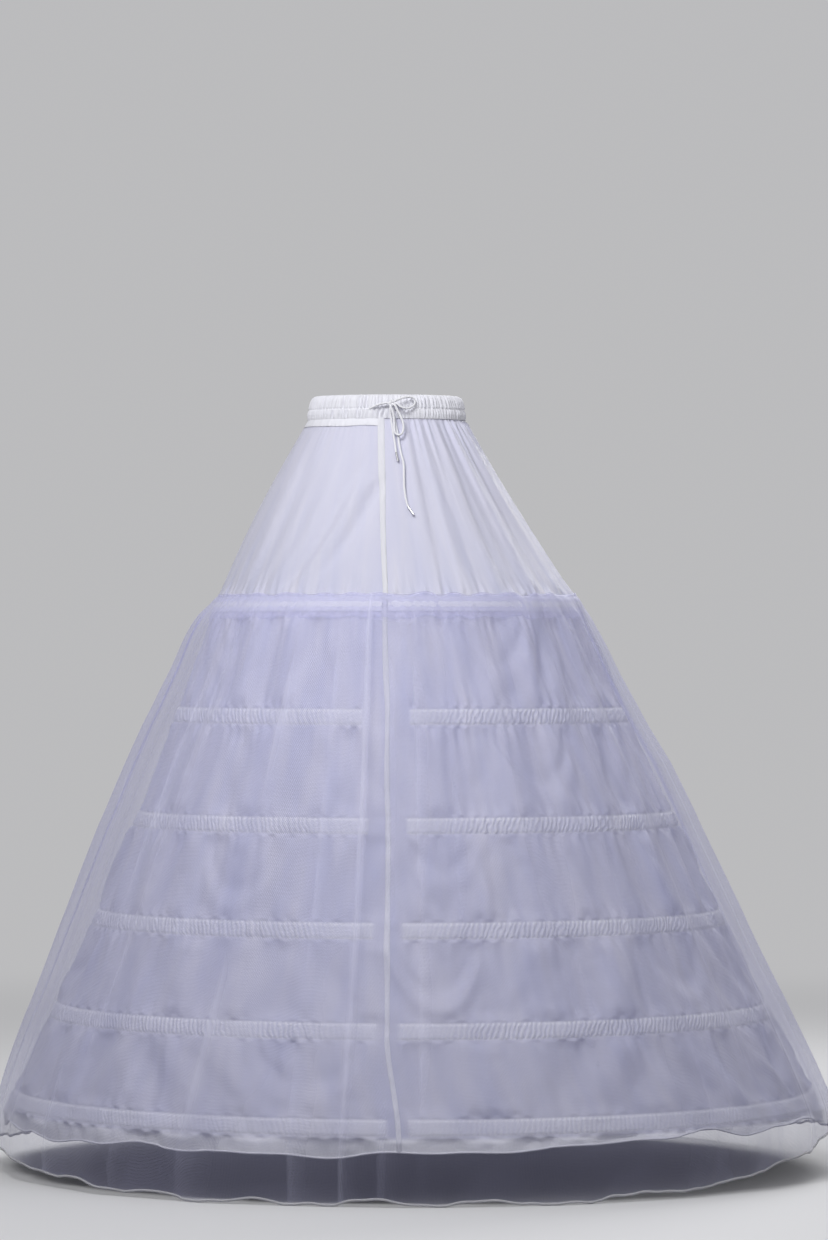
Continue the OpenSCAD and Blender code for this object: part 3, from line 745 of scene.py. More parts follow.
# rows close together over the hoop channels and wider apart between them
def liningRows():
    band = lining["band"]
    parts = [np.linspace(skirt["seamZ"], hoopZ[0] + band, lining["yokeRows"])[:-1]]
    for k in range(skirt["hoops"]):
        parts.append(np.linspace(hoopZ[k] + band, hoopZ[k] - band, lining["bandRows"])[:-1])
        if k < tiers:
            parts.append(np.linspace(hoopZ[k] - band, hoopZ[k + 1] + band, lining["tierRows"])[:-1])
    parts.append(np.linspace(hoopZ[-1] - band, skirt["hemZ"], lining["hemRows"]))
    return np.concatenate(parts)


# hoop channels. A channel stands proud of the cloth in the root of a half wave, is gathered along its
# length, less near the seams, and is pinched in along its two rows of stitches; small gathers fan out above
# and below it and die away. It stops short of the front seam by half a gap. The top one is flat, because the
# heading lies on it. The values say where the cloth is doubled, and so whiter, with painted highlights along
# its two ridges, where it is ruched, and how far a gather slants
channel = {"half": 10.5, "edge": 1.0, "proud": 1.3, "gaps": (26.0, 66.0, 54.0, 40.0, 30.0, 30.0),
           "endFade": 5.0, "ruche": 0.66, "waves": (110, 200), "slant": 0.0004,
           "gathered": (0.6, 0.9, 0.9, 0.9, 0.9, 0.35), "calm": 0.25, "calmUntil": 50.0, "calmFade": 90.0,
           "stitch": 0.9, "topStitch": 0.1, "stitchWide": 1.3,
           "fan": 1.4, "fanWaves": (70, 150), "fanUp": 13.0, "fanDown": 22.0, "fanFade": 4.0,
           "white": 0.58, "ridge": 0.55, "ridgeIn": 1.0, "ridgeWide": 1.7, "shear": 0.0006, "shearPast": 3.0}


def channelRelief(angle, z):
    out, doubledAndLit, ruched, shear = (np.zeros_like(z) for _ in range(4))
    half = channel["half"]
    side = np.sign(np.sin(angle - lining["seam"]))
    for k in range(skirt["hoops"]):
        off = z - hoopZ[k]
        far = np.abs(off)
        past = turnFrom(angle, lining["seam"]) - channel["gaps"][k] / hoopR[k] / 2
        along = ease(past / (channel["endFade"] / hoopR[k]) + 0.5)
        inside = ease((half + channel["edge"] - far) / (2 * channel["edge"]))
        lively = ease((fromSeams(angle) * hoopR[k] - channel["calmUntil"]) / channel["calmFade"])
        gathered = channel["gathered"][k] * (channel["calm"] + (1 - channel["calm"]) * lively)
        if k > 0:
            bulge = np.cos(np.clip(off / half, -1, 1) * math.pi / 2) ** 0.5
            gathers = wavy(angle + channel["slant"] * off, *channel["waves"], 20 + k)
            out = out + along * inside * (channel["proud"] * bulge + channel["ruche"] * gathers * gathered)
        stitch = channel["stitch"] if k > 0 else channel["topStitch"]
        out = out - along * stitch * bell(far, half, channel["stitchWide"])
        above = off > 0
        fan = np.where(above, wavy(angle, *channel["fanWaves"], 40 + k),
                       wavy(angle, *channel["fanWaves"], 60 + k))
        beyond = far - skirt["flat"]
        dying = np.exp(-np.maximum(beyond, 0) / np.where(above, channel["fanUp"], channel["fanDown"]))
        out = out + along * channel["fan"] * fan * dying * ease(beyond / channel["fanFade"])
        # painted highlight: a bright line just inside each row of stitches, added to the whiter doubled cloth
        ridge = bell(far, half - channel["ridgeIn"], channel["ridgeWide"])
        doubledAndLit = np.maximum(doubledAndLit, along * (channel["white"] * inside + channel["ridge"] * ridge))
        ruched = np.maximum(ruched, along * gathered * inside)
        shear = np.where(far < half + channel["shearPast"], -channel["shear"] * side * off, shear)
    return out, {"doubledAndLit": doubledAndLit, "ruched": ruched, "shear": shear}


# swags: each hangs from two places on a hoop, a valley along a parabola with a ridge under it, and clears the
# channels. One swag is its direction in degrees, hoop, half width, drop and depth; a bell is its middle below
# the parabola and its width
swag = {"hang": 8.0, "full": 0.7, "clear": 13.0, "fade": 18.0, "valley": (-9.0, 15.0), "ridge": (14.0, 17.0),
        "ridgeHigh": 0.6,
        "each": ((274.3, 3, 68, 84, 6.0), (277, 2, 58, 60, 4.0), (254, 4, 92, 72, 3.5),
                 (302.7, 1, 70, 92, 3.0), (299, 0, 60, 84, 3.0), (236, 2, 80, 90, 3.0),
                 (322, 3, 80, 80, 3.0), (20, 1, 66, 90, 3.5), (60, 3, 84, 86, 4.0), (95, 2, 70, 76, 3.6),
                 (130, 4, 90, 70, 4.0), (160, 1, 60, 84, 3.6), (190, 3, 80, 80, 4.0),
                 (213, 0, 56, 70, 3.0), (338, 4, 86, 70, 4.0))}


def swagRelief(angle, z):
    out = 0
    for turn, k, half, drop, depth in swag["each"]:
        across = signedTurn(angle, math.radians(turn)) * hoopR[k] / half
        rise = np.clip(1 - across ** 2, 0, 1)
        below = hoopZ[k] - swag["hang"] - drop * rise - z
        hold = ease((hoopZ[k] - swag["clear"] - z) / swag["fade"])
        hold = hold * ease((z - hoopZ[k + 1] - swag["clear"]) / swag["fade"]) * ease(rise / swag["full"])
        ridge, valley = bell(below, *swag["ridge"]), bell(below, *swag["valley"])
        out = out + depth * hold * (swag["ridgeHigh"] * ridge - valley)
    return out


# slanting folds between two hoops: two sets of waves that lean opposite ways, in shares that change round the
# skirt, held at both hoops
slanted = {"depth": (1.7, 2.0, 2.7, 3.3, 3.3), "waves": (14, 40), "lean": 0.0016, "shareWaves": (3, 8),
           "share": 0.6}


def slantedRelief(angle, z):
    out = 0
    for k in range(tiers):
        hold = np.sin(math.pi * np.clip((hoopZ[k] - z) / (hoopZ[k] - hoopZ[k + 1]), 0, 1))
        lean = slanted["lean"] * (z - hoopZ[k])
        share = ease(0.5 + slanted["share"] * wavy(angle, *slanted["shareWaves"], 130 + k))
        one = wavy(angle + lean, *slanted["waves"], 110 + k)
        other = wavy(angle - lean, *slanted["waves"], 120 + k)
        out = out + slanted["depth"][k] * hold * (share * one + (1 - share) * other)
    return out


# the yoke above the top hoop: one long crease slants across its front, with a ridge and small folds left of
# it; its left side is a little fuller, and gathers run down from the waist and die away, long ones on the
# right. A pair is a start and a length of fade, or a bell's middle and width
yoke = {"creaseTurn": math.radians(263.6), "creaseSlope": math.radians(0.152), "creaseZ": 986.0,
        "creaseScale": 0.8, "crease": 6.5, "creaseWide": 9.0, "ridge": 3.2, "ridgeBell": (-18.0, 13.0),
        "creaseLow": (840.0, 60.0), "creaseHigh": (1006.0, 26.0), "beside": 1.5, "besideLong": 45.0,
        "besideWaves": (3, 9), "besideFar": (-170.0, 60.0), "besideNear": (-14.0, 16.0),
        "besideLow": (832.0, 30.0), "besideHigh": (1050.0, 60.0), "full": 8.0, "sewn": 6.0,
        "leftGather": 0.25, "leftReach": 22.0,
        "leftWaves": (60, 120), "shortReach": 30.0, "shortWaves": (50, 110), "longGather": 0.9,
        "longReach": 95.0, "longWaves": (22, 60), "rightSide": (-0.1, 0.5)}


def yokeRelief(angle, z):
    line = yoke["creaseTurn"] + yoke["creaseSlope"] * (z - yoke["creaseZ"])
    across = signedTurn(angle, line) * yoke["creaseScale"] * skirtX(z)
    crease = yoke["ridge"] * bell(across, *yoke["ridgeBell"])
    crease = crease - yoke["crease"] * bell(across, 0, yoke["creaseWide"])
    out = after(z, yoke["creaseLow"]) * before(z, yoke["creaseHigh"]) * crease
    hold = after(across, yoke["besideFar"]) * before(across, yoke["besideNear"])
    hold = hold * after(z, yoke["besideLow"]) * before(z, yoke["besideHigh"])
    out = out + hold * yoke["beside"] * wavy(across / yoke["besideLong"], *yoke["besideWaves"], 12)
    out = out + yoke["full"] * np.maximum(-np.cos(angle), 0) * np.sin(math.pi * yokeShare(z))
    under = np.maximum(skirt["seamZ"] - z, 0)
    right = after(np.cos(angle), yoke["rightSide"])
    left = yoke["leftGather"] * wavy(angle, *yoke["leftWaves"], 5) * np.exp(-under / yoke["leftReach"])
    short = wavy(angle, *yoke["shortWaves"], 6) * np.exp(-under / yoke["shortReach"])
    long = yoke["longGather"] * wavy(angle, *yoke["longWaves"], 8) * np.exp(-under / yoke["longReach"])
    return out + ease(under / yoke["sewn"]) * ((1 - right) * left + right * (short + long))


# the flounce below the bottom hoop: two whole waves round the skirt, an uneven edge, and a stretch on the
# right front that is turned outwards and up
flounce = {"start": 14.0, "fade": 24.0, "wave": 3.0, "waves": ((0.6, 13, 0.35), (0.4, 19, 0.0)),
           "edge": 2.6, "edgeWaves": (8, 30), "turnedAt": math.radians(316),
           "turnedHalf": math.radians(46), "turnedFade": math.radians(30), "turnedOut": 5.0, "turnedUp": 15.0}


# the lining's surface: the oval, plus the drape and all the reliefs; towards the hem the whole cloth has
# turned a little to the right
def liningSurface(angle, z):
    angle, z = np.broadcast_arrays(np.asarray(angle, float), np.asarray(z, float))
    moved = readDrape(angle, z)
    channels, values = channelRelief(angle, z)
    out = moved[..., 0] + channels + swagRelief(angle, z) + slantedRelief(angle, z) + yokeRelief(angle, z)
    low = ease((hoopZ[-1] - flounce["start"] - z) / flounce["fade"])
    nearTurned = flounce["turnedHalf"] - turnFrom(angle, flounce["turnedAt"])
    turnedUp = low * ease(nearTurned / flounce["turnedFade"])
    wave = waveSum(angle, flounce["waves"])
    out = out + low * flounce["wave"] * wave + flounce["turnedOut"] * turnedUp
    turned = angle + skirt["drift"] * ease((hoopZ[-2] - z) / (hoopZ[-2] - skirt["hemZ"]))
    points = onOval(turned, z, out)
    points[..., 0] -= moved[..., 1] * np.sin(turned)
    points[..., 1] += moved[..., 1] * np.cos(turned)
    points[..., 2] += moved[..., 2] * ease((skirt["seamZ"] - z) / drape["upFade"])
    uneven = low * flounce["edge"] * wavy(angle, *flounce["edgeWaves"], 9)
    points[..., 2] += uneven + flounce["turnedUp"] * turnedUp
    return points, values


# cut of a gore, in metres: across is measured round the skirt at each height, along down the slant
def goreUv(angle, z, middle):
    slant = runAlong(np.hstack([z, skirtX(z)]))
    across = (angle - middle) * (skirtX(z) + skirtY(z)) / 2
    return np.stack(np.broadcast_arrays(across, slant[:, None]), axis=-1) / 1000


sideNames = ("front_right", "back_right", "back_left", "front_left")
rowZ = liningRows()[:, None]
for g, side in enumerate(sideNames):
    angle = lining["seam"] + math.pi / 2 * (g + np.linspace(0, 1, lining["cols"] + 1))[None, :]
    middle = lining["seam"] + math.pi / 2 * (g + 0.5)
    points, values = liningSurface(angle, rowZ)
    uv = goreUv(angle, rowZ, middle)
    fan = np.stack(np.broadcast_arrays(lining["fan"] * (angle - middle), uv[..., 1]), axis=-1)
    # painted light: the flounce is painted whiter, as cloth folded double and as light on a shaded band
    folded = lining["folded"] * ease((hoopZ[-1] - lining["foldedFrom"] - rowZ) / lining["foldedFade"])
    values["folded"] = np.broadcast_to(folded, points.shape[:2])
    piece = gridMesh("lining_" + side + "_gore", points, uv, fan, values=values, material=satin)
    fitPiece(piece, "lining_" + side)
print("lining made")

# rolled hem along the lining's lower edge
liningHem = {"points": 1200, "radius": 1.4, "sides": 10, "wrap": 12.0}
ring = ringAngles(liningHem["points"])
hemPath = liningSurface(ring, np.full(len(ring), skirt["hemZ"]))[0]
hemRoll = gridMesh("lining_rolled_hem",
                   tubePoints(hemPath, liningHem["radius"], liningHem["sides"], (0, 0, 1), closed=True),
                   tubeUv(hemPath, liningHem["sides"], liningHem["wrap"], closed=True),
                   joined=True, tube=True, material=tapeCloth)
fitPiece(hemRoll)

seamLook = {"cols": 9, "half": 3.7, "topHalf": 1.4, "widen": (850.0, 230.0), "uneven": 0.25,
            "unevenWaves": (2, 9), "lift": 1.35, "edgeDrop": 1.0, "crinkle": 0.3, "crinkleWaves": (20, 60),
            "wander": 0.7, "wanderWaves": (1, 6), "long": 160.0, "rise": 0.35, "tuckIn": 0.6, "cut": 4.5}


# seam strip: a narrow tape down the lining's surface, wider towards the waist, that wanders a little, lifted
# off the cloth with its edges turned down by the fourth power
def seamStrip(name, node, middle):
    z = rowZ + seamLook["tuckIn"] * (rowZ == skirt["seamZ"])
    turn = z / seamLook["long"]
    share = np.linspace(-1, 1, seamLook["cols"])[None, :]
    half = seamLook["half"] + seamLook["topHalf"] * after(z, seamLook["widen"])
    half = half + seamLook["uneven"] * wavy(turn, *seamLook["unevenWaves"], 91)
    lift = seamLook["lift"] - seamLook["edgeDrop"] * np.abs(share) ** 4
    crinkle = seamLook["crinkle"] * wavy(turn, *seamLook["crinkleWaves"], 92)
    lift = lift + crinkle * (1 - share ** 2)
    across = seamLook["wander"] * wavy(turn, *seamLook["wanderWaves"], 90) + share * half
    base = liningSurface(middle + across / skirtX(z), z)[0]
    points = base + lift[..., None] * np.array([math.cos(middle), math.sin(middle), seamLook["rise"]])
    uv = np.stack(np.broadcast_arrays(share * seamLook["cut"], skirt["seamZ"] - z), axis=-1) / 1000
    return fitPiece(gridMesh(name, points, uv, material=seamCloth), node)


frontStrip = seamStrip("front_seam_tape", "front_seam_strip", lining["seam"])
backStrip = seamStrip("back_seam_tape", "back_seam_strip", lining["seam"] + math.pi)

# heading tape's section, up and out from the top hoop's channel, and its settings
heading = {"cols": 1000, "gap": 4.6, "pleat": 0.13, "waves": (80, 150), "slant": 0.0011,
           "calm": 0.2, "patch": (0.45, 0.7), "patchWaves": (3, 9), "outer": 1.0, "cut": (0.0035, 1.66),
           "section": [(-11.4, 0.35), (0, 0.35), (11.4, 0.35), (12, 0.5), (11.4, 1.2), (10, 1.9), (8, 1.5),
                       (4, 2.2), (0, 2.4), (-4, 2.2), (-8, 1.5), (-10, 1.9), (-11.4, 1.2), (-12, 0.5)]}


# two half rings on the top hoop's channel, pleated in patches along their outer side, open at both seams
def makeHeading():
    angle = ringAngles(heading["cols"])
    up, out = np.array(heading["section"], float).T[..., None]
    mean, vary = heading["patch"]
    patch = ease(mean + vary * wavy(angle, *heading["patchWaves"], 32))[None, :]
    patchy = heading["calm"] + (1 - heading["calm"]) * patch
    pleat = wavy(angle[None, :] + heading["slant"] * up, *heading["waves"], 31)
    pleat = pleat * (out > heading["outer"]) * patchy
    z = hoopZ[0] + up / math.hypot(1, hoopSlope[0])
    points = onOval(angle[None, :], np.broadcast_to(z, pleat.shape), out + heading["pleat"] * pleat)
    walk = np.arange(len(up) + 1) * heading["cut"][0]
    run = np.linspace(0, heading["cut"][1], heading["cols"] + 1)
    uv = np.stack(np.meshgrid(walk, run, indexing="ij")[::-1], axis=-1)
    piece = gridMesh("heading_tape", points, uv, joined=True, tube=True,
                     keep=fromSeams(angle) * hoopR[0] > heading["gap"], material=tapeCloth)
    fitPiece(piece, "tulle_heading")


makeHeading()

# the net, in millimetres: it is sewn on at sewnZ, folds over at topZ and hangs straight below the bottom
# hoop. Its flat cut is in metres, and a pair is a start and a length of fade, or a bell's middle and width
tulle = {"seam": math.radians(262.5), "cols": 200, "topZ": 832.0, "sewnZ": 829.0, "sewnOff": 1.6,
         "tableZ": (-5, 0, 93, 125, 317.85, 456.1, 602.65, 719, 807, 829.0), "hang": 605.0,
         "stand": 11.0, "spread": 6.0, "puff": 11.0, "puffPower": 0.75, "turnUp": 34.0, "turnOff": 1.7,
         "turnRoll": 0.5, "turnFade": 8.0, "hemFold": 9.0, "foldShare": 0.62, "foldLess": 2.5,
         "foldLimit": (-1.15, 1.3), "foldFade": 30.0, "edgeWave": 1.1, "edgeWaves": (14, 46),
         "frill": 0.9, "frillWaves": (30, 80), "frillReach": 25.0, "frillFade": 6.0,
         "fat": 3.5, "fatReach": 16.0, "fatFade": 9.0, "bulge": 17.0, "bulgePower": 0.85,
         "tuck": 10.0, "tuckUntil": 0.32, "tuckHigh": 0.8, "shoulder": (790.0, 38.0), "shoulderTuck": 0.6,
         "shoulderFade": 20.0, "clearTop": 4.0, "clearFrom": 1.0, "clearFade": 12.0, "clearHem": 8.0,
         "clearLow": (140.0, 30.0), "twist": math.radians(2), "liftLeft": 32.0, "liftRight": 53.0,
         "liftFade": (math.radians(25), math.radians(65)), "scallop": 2.8, "scallopWaves": (9, 26),
         "scallopLow": 0.6, "ripple": 0.8, "rippleWaves": (40, 90), "rippleLow": 0.8,
         "seamWide": 5.0, "seamFade": 2.0, "seamDoubled": 0.6, "topDoubled": 0.5, "topBand": (0.058, 0.03),
         "leftDoubled": 0.25, "leftFrom": (0.5, 0.6), "leftLess": 0.7, "flat": (1.1, 0.98), "area": 0.80}


# how far down a height is between the top hoop, 0, and the bottom hoop, 1
def hoopFall(z):
    return np.clip((skirt["topZ"] - z) / (skirt["topZ"] - skirt["bottomZ"]), 0, 1)


# distance of the net from the lining: it stands off the top hoop, and off the middle hoops a little more
def tulleMean(z):
    fall = hoopFall(z)
    puff = tulle["puff"] * np.sin(math.pi * fall ** tulle["puffPower"])
    return tulle["stand"] + tulle["spread"] * fall + puff


tulleZ = np.array(tulle["tableZ"])
tulleR = skirtX(tulleZ) + tulleMean(tulleZ)
tulleR[:3] = tulle["hang"]
tulleR[-1] = skirtX(tulle["sewnZ"]) + tulle["sewnOff"]


# smooth curve through a table: cubic pieces whose slopes are the mean of the two neighbours
def smoothTable(x, tableX, tableY):
    slope = np.gradient(tableY, tableX)
    i = np.clip(np.searchsorted(tableX, x) - 1, 0, len(tableX) - 2)
    w = tableX[i + 1] - tableX[i]
    t = np.clip((x - tableX[i]) / w, 0, 1)
    return ((1 + 2 * t) * (1 - t) ** 2 * tableY[i] + t * (1 - t) ** 2 * w * slope[i]
            + t * t * (3 - 2 * t) * tableY[i + 1] + t * t * (t - 1) * w * slope[i + 1])


# height of the hem: flat at the front and back, lifted at both sides, with small scallops and ripples
def hemHeight(angle):
    lift = tulle["liftLeft"] + (tulle["liftRight"] - tulle["liftLeft"]) * (1 + np.cos(angle)) / 2
    away = np.minimum(turnFrom(angle, front), turnFrom(angle, behind))
    scallop = np.maximum(wavy(angle, *tulle["scallopWaves"], 71), -tulle["scallopLow"]) + tulle["scallopLow"]
    ripple = np.maximum(wavy(angle, *tulle["rippleWaves"], 70), -tulle["rippleLow"]) + tulle["rippleLow"]
    lift = lift * after(away, tulle["liftFade"])
    return lift + tulle["scallop"] * scallop + tulle["ripple"] * ripple


# folds of the net: two long waves as in the solids, broken up by uneven ones that drift a little as they
# fall, and by fine ones that die away below the top
netFold = {"waves": ((0.6, 16, 0.26), (0.4, 22, 1.22)), "long": 0.65,
           "mid": 0.35, "midWaves": (12, 34), "midDrift": 0.05, "midMean": 0.5, "midVary": 0.3,
           "varyWaves": (3, 9), "fine": 0.22, "fineWaves": (50, 110), "fineDrift": 0.03, "fineFade": 9.0}


def tulleFold(angle, drop):
    look = netFold
    long = waveSum(angle, look["waves"])
    mid = wavy(angle + look["midDrift"] * drop, *look["midWaves"], 72)
    mid = mid * (look["midMean"] + look["midVary"] * wavy(angle, *look["varyWaves"], 73))
    fine = wavy(angle - look["fineDrift"] * drop, *look["fineWaves"], 74)
    fine = fine * look["fine"] * np.exp(-drop * look["fineFade"])
    return look["long"] * long + look["mid"] * mid + fine


# where a long fold lies over itself the net is doubled: one crisp edge, thinning out to the other side, and
# broken up on the way down. The folds are counted round the skirt at uneven steps, and each has its own
# seeded strength
overlap = {"count": 44, "uneven": 0.9, "unevenWaves": (2, 7), "drift": 0.5, "driftWaves": (2, 6),
           "strength": (-0.25, 1.0), "thin": 3.5, "thinLow": 2.0, "edge": 0.035, "least": 0.15, "most": 0.6,
           "brokenMean": 0.4, "brokenVary": 0.7, "brokenStep": 1.7, "brokenFall": 2.4, "brokenWaves": (1, 6),
           "start": (0.05, 0.12)}


def tulleOverlap(angle, drop):
    look = overlap
    count = look["count"]
    run = count * angle / tau + look["uneven"] * wavy(angle, *look["unevenWaves"], 77)
    run = run + look["drift"] * drop * wavy(angle, *look["driftWaves"], 78)
    fold = np.floor(run)
    strength = np.random.default_rng(79).uniform(*look["strength"], count)[fold.astype(int) % count]
    part = run - fold
    crisp = np.exp(-part * (look["thin"] + look["thinLow"] * drop)) * ease(part / look["edge"])
    broken = wavy(look["brokenStep"] * fold + look["brokenFall"] * drop, *look["brokenWaves"], 80)
    broken = look["least"] + look["most"] * ease(look["brokenMean"] + look["brokenVary"] * broken)
    return np.clip(strength, 0, 1) * crisp * broken * after(drop, look["start"])


# the net's surface: s runs from 0 at the top fold to 1 at the hem; below 0 it is the part turned in at the
# top. The radius is the table's, plus the folds, a frill and a thick roll that die away below the top edge
# and a fuller left side, less a tuck at the right shoulder, and always clear of the lining
def tulleSurface(angle, s):
    angle, s = np.broadcast_arrays(np.asarray(angle, float), np.asarray(s, float))
    drop = np.clip(s, 0, 1)
    turned = s < 0
    top = tulle["topZ"] + tulle["edgeWave"] * wavy(angle, *tulle["edgeWaves"], 75)
    z = np.where(turned, top + s * tulle["turnUp"], top + (hemHeight(angle) - top) * drop)
    under = np.maximum(top - z, 0)
    fall = hoopFall(z)
    foldDeep = tulle["foldShare"] * tulleMean(z) - tulle["foldLess"]
    foldDeep = np.where(z < skirt["bottomZ"], tulle["hemFold"], foldDeep)
    swing = foldDeep * np.clip(tulleFold(angle, drop), *tulle["foldLimit"])
    swing = swing * ease((tulle["sewnZ"] - z) / tulle["foldFade"])
    frill = tulle["frill"] * wavy(angle, *tulle["frillWaves"], 76)
    frill = frill * np.exp(-under / tulle["frillReach"]) * ease(under / tulle["frillFade"])
    fat = tulle["fat"] * np.exp(-under / tulle["fatReach"]) * ease(under / tulle["fatFade"])
    bulge = tulle["bulge"] * np.maximum(-np.cos(angle), 0)
    bulge = bulge * np.sin(math.pi * fall ** tulle["bulgePower"])
    tuck = tulle["tuckHigh"] * np.sin(math.pi * np.clip(fall / tulle["tuckUntil"], 0, 1))
    shoulder = tulle["shoulderTuck"] * bell(z, *tulle["shoulder"])
    tuck = tuck + shoulder * ease((tulle["topZ"] - z) / tulle["shoulderFade"])
    tuck = tulle["tuck"] * np.maximum(np.cos(angle), 0) * tuck
    radius = smoothTable(z, tulleZ, tulleR) + swing + frill + fat + bulge - tuck
    clear = tulle["clearTop"] * ease((tulle["topZ"] - tulle["clearFrom"] - z) / tulle["clearFade"])
    clear = clear + tulle["clearHem"] * before(z, tulle["clearLow"])
    turnedIn = skirtX(z) + tulle["turnOff"] + tulle["turnRoll"] * ease(under / tulle["turnFade"])
    radius = np.where(turned, turnedIn, np.maximum(radius, skirtX(z) + clear))
    turn = angle - tulle["twist"] * drop
    return np.stack([axisX(z) + radius * np.cos(turn), radius * np.sin(turn), z], axis=-1)


# rows close together at the top fold and the hem
sRows = np.concatenate([np.linspace(-1, -0.15, 6), np.linspace(-0.1, 0, 4)[:-1],
                        np.linspace(0, 0.05, 16)[:-1], np.linspace(0.05, 0.9, 90)[:-1],
                        np.linspace(0.9, 1, 26)])[:, None]
for g, side in enumerate(sideNames):
    angle = tulle["seam"] + math.pi / 2 * (g + np.linspace(0, 1, tulle["cols"] + 1))[None, :]
    points = tulleSurface(angle, sRows)
    reach = np.hypot(points[..., 0], points[..., 1])
    across = (angle - tulle["seam"] - math.pi / 2 * (g + 0.5)) * reach
    run = runAlong(points[:, tulle["cols"] // 2])
    uv = np.stack(np.broadcast_arrays(across, run[:, None]), axis=-1) / 1000
    drop = np.clip(sRows, 0, 1)
    edge = np.minimum(angle - angle[0, 0], angle[0, -1] - angle) * reach
    atSeam = tulle["seamDoubled"] * ease((tulle["seamWide"] - edge) / tulle["seamFade"])
    doubledAndLit = np.maximum(tulleOverlap(angle, drop), atSeam)
    if side == "front_left":  # the net lies in more folds here, most of all near the top
        more = tulle["leftDoubled"] * (1 - tulle["leftLess"] * drop)
        doubledAndLit = doubledAndLit + more * after(angle - angle[0, 0], tulle["leftFrom"])
    # the turned-in band at the top is doubled, and its colour is painted whiter there as painted light over
    # the shaded fold
    doubledAndLit = np.clip(np.maximum(doubledAndLit, tulle["topDoubled"] * before(drop, tulle["topBand"])), 0, 1)
    piece = gridMesh("tulle_" + side + "_panel", points, uv, values={"doubledAndLit": doubledAndLit}, material=net)
    fitPiece(piece, "tulle_" + side)
print("tulle made")

# rolled edge of the net: a flat section, up the net and out from it, carried round the hem
tulleHem = {"points": 1600, "inside": 0.9925, "wrap": 14.0,
            "section": [(0.2, -0.2), (1.2, -0.5), (2.6, -0.5), (3.8, -0.3), (3.8, 0.6), (2.6, 1.1),
                        (1.2, 1.2), (0.2, 0.7)]}
ring = ringAngles(tulleHem["points"])
edgePath = tulleSurface(ring, np.ones(len(ring)))
up = unit(tulleSurface(ring, np.full(len(ring), tulleHem["inside"])) - edgePath)
section = np.array(tulleHem["section"])[None, :, :, None]
rollPoints = edgePath[:, None] + section[:, :, 0] * up[:, None] + section[:, :, 1] * outwards(ring)[:, None]
hemBinding = gridMesh("tulle_rolled_hem", rollPoints,
                      tubeUv(edgePath, len(tulleHem["section"]), tulleHem["wrap"], closed=True),
                      joined=True, tube=True, material=hemCloth)
fitPiece(hemBinding, "tulle_hem_binding")

waist = {"cols": 900, "height": 35.0, "outside": 3.0, "inside": -3.2, "pleat": 0.9, "rows": (20.0, 30.0),
         "stitch": 0.9, "stitchWide": 1.1, "calm": 0.7, "tallWaves": (64, 150), "shortWaves": (80, 160),
         "swap": 4.0, "bend": 0.004, "bendLong": 3.2, "bendTurn": 2.5, "bendWaves": (4, 14),
         "sewnRows": 3, "outer": 0.5, "topPleat": 0.4, "topHigh": 4.0, "topIn": -2.5, "run": 0.62,
         "flat": (0.66, 0.075)}


# waistband: a strip folded over at the top, its section carried round the waist; fine pleats run up it, bent
# a little, and two rows of stitches pull it in. Below the upper row the pleats are others
def makeWaistband():
    h = waist["height"]
    section = [(0, 1.25), (2, 2.0), (4, 2.7)] + [(v, waist["outside"]) for v in np.linspace(6, h - 9, 20)]
    section += [(h - 7, 2.7), (h - 5, 2.1), (h - 3, 1.2), (h - 1.4, 0.2), (h - 0.4, -0.8), (h, -1.5)]
    section += [(h - 0.5, -2.2), (h - 2, -2.7), (h - 4, -3.0)]
    section += [(v, waist["inside"]) for v in np.linspace(h - 8, 6, 6)] + [(3, -2.9), (0.6, -2.4)]
    section = np.array(section)
    up, out = section[:, :1], section[:, 1:]
    angle = ringAngles(waist["cols"])[None, :]
    outer = ease(np.arange(len(section)) / waist["sewnRows"])[:, None] * (out > waist["outer"])
    drop = h - up
    sway = drop / waist["bendLong"] + waist["bendTurn"] * wavy(angle, *waist["bendWaves"], 84)
    bent = angle + waist["bend"] * np.sin(sway)
    tall = wavy(bent, *waist["tallWaves"], 81)
    share = ease((drop - waist["rows"][0] + waist["swap"] / 2) / waist["swap"])
    pleat = (1 - share) * tall + share * wavy(bent, *waist["shortWaves"], 82)
    stitch = sum(bell(drop, row, waist["stitchWide"]) for row in waist["rows"])
    pull = waist["pleat"] * pleat * (1 - waist["calm"] * stitch) - waist["stitch"] * stitch
    atTop = (up > h - waist["topHigh"]) & (out > waist["topIn"])
    off = out + outer * pull + np.where(atTop, waist["topPleat"] * tall, 0)
    points = onOval(angle, skirt["seamZ"] + np.broadcast_to(up, off.shape), off)
    run = np.linspace(0, waist["run"], waist["cols"] + 1)
    uv = np.stack(np.meshgrid(runAlong(section) / 1000, run, indexing="ij")[::-1], axis=-1)
    piece = gridMesh("waistband_shirred", points[::-1], uv[::-1], joined=True, material=waistCloth)
    fitPiece(piece, "waistband_casing")


makeWaistband()

# facing, from the left side to the front seam: its section is a height and a distance from the lining
facing = {"turn": (186, 265.2), "cols": 160, "sag": 0.5, "sagWaves": (4, 14), "sagBelow": (1084.0, 8.0),
          "endFade": 0.06, "endThin": 0.4, "crinkle": 0.12, "crinkleWaves": (20, 50), "cut": 110.0,
          "section": [(1086.4, 0.9), (1085.6, 1.2), (1084, 1.5), (1081.5, 1.7), (1079, 1.7), (1077, 1.5),
                      (1075.6, 1.2), (1075.2, 0.9), (1076, 0.7), (1079, 0.7)]}


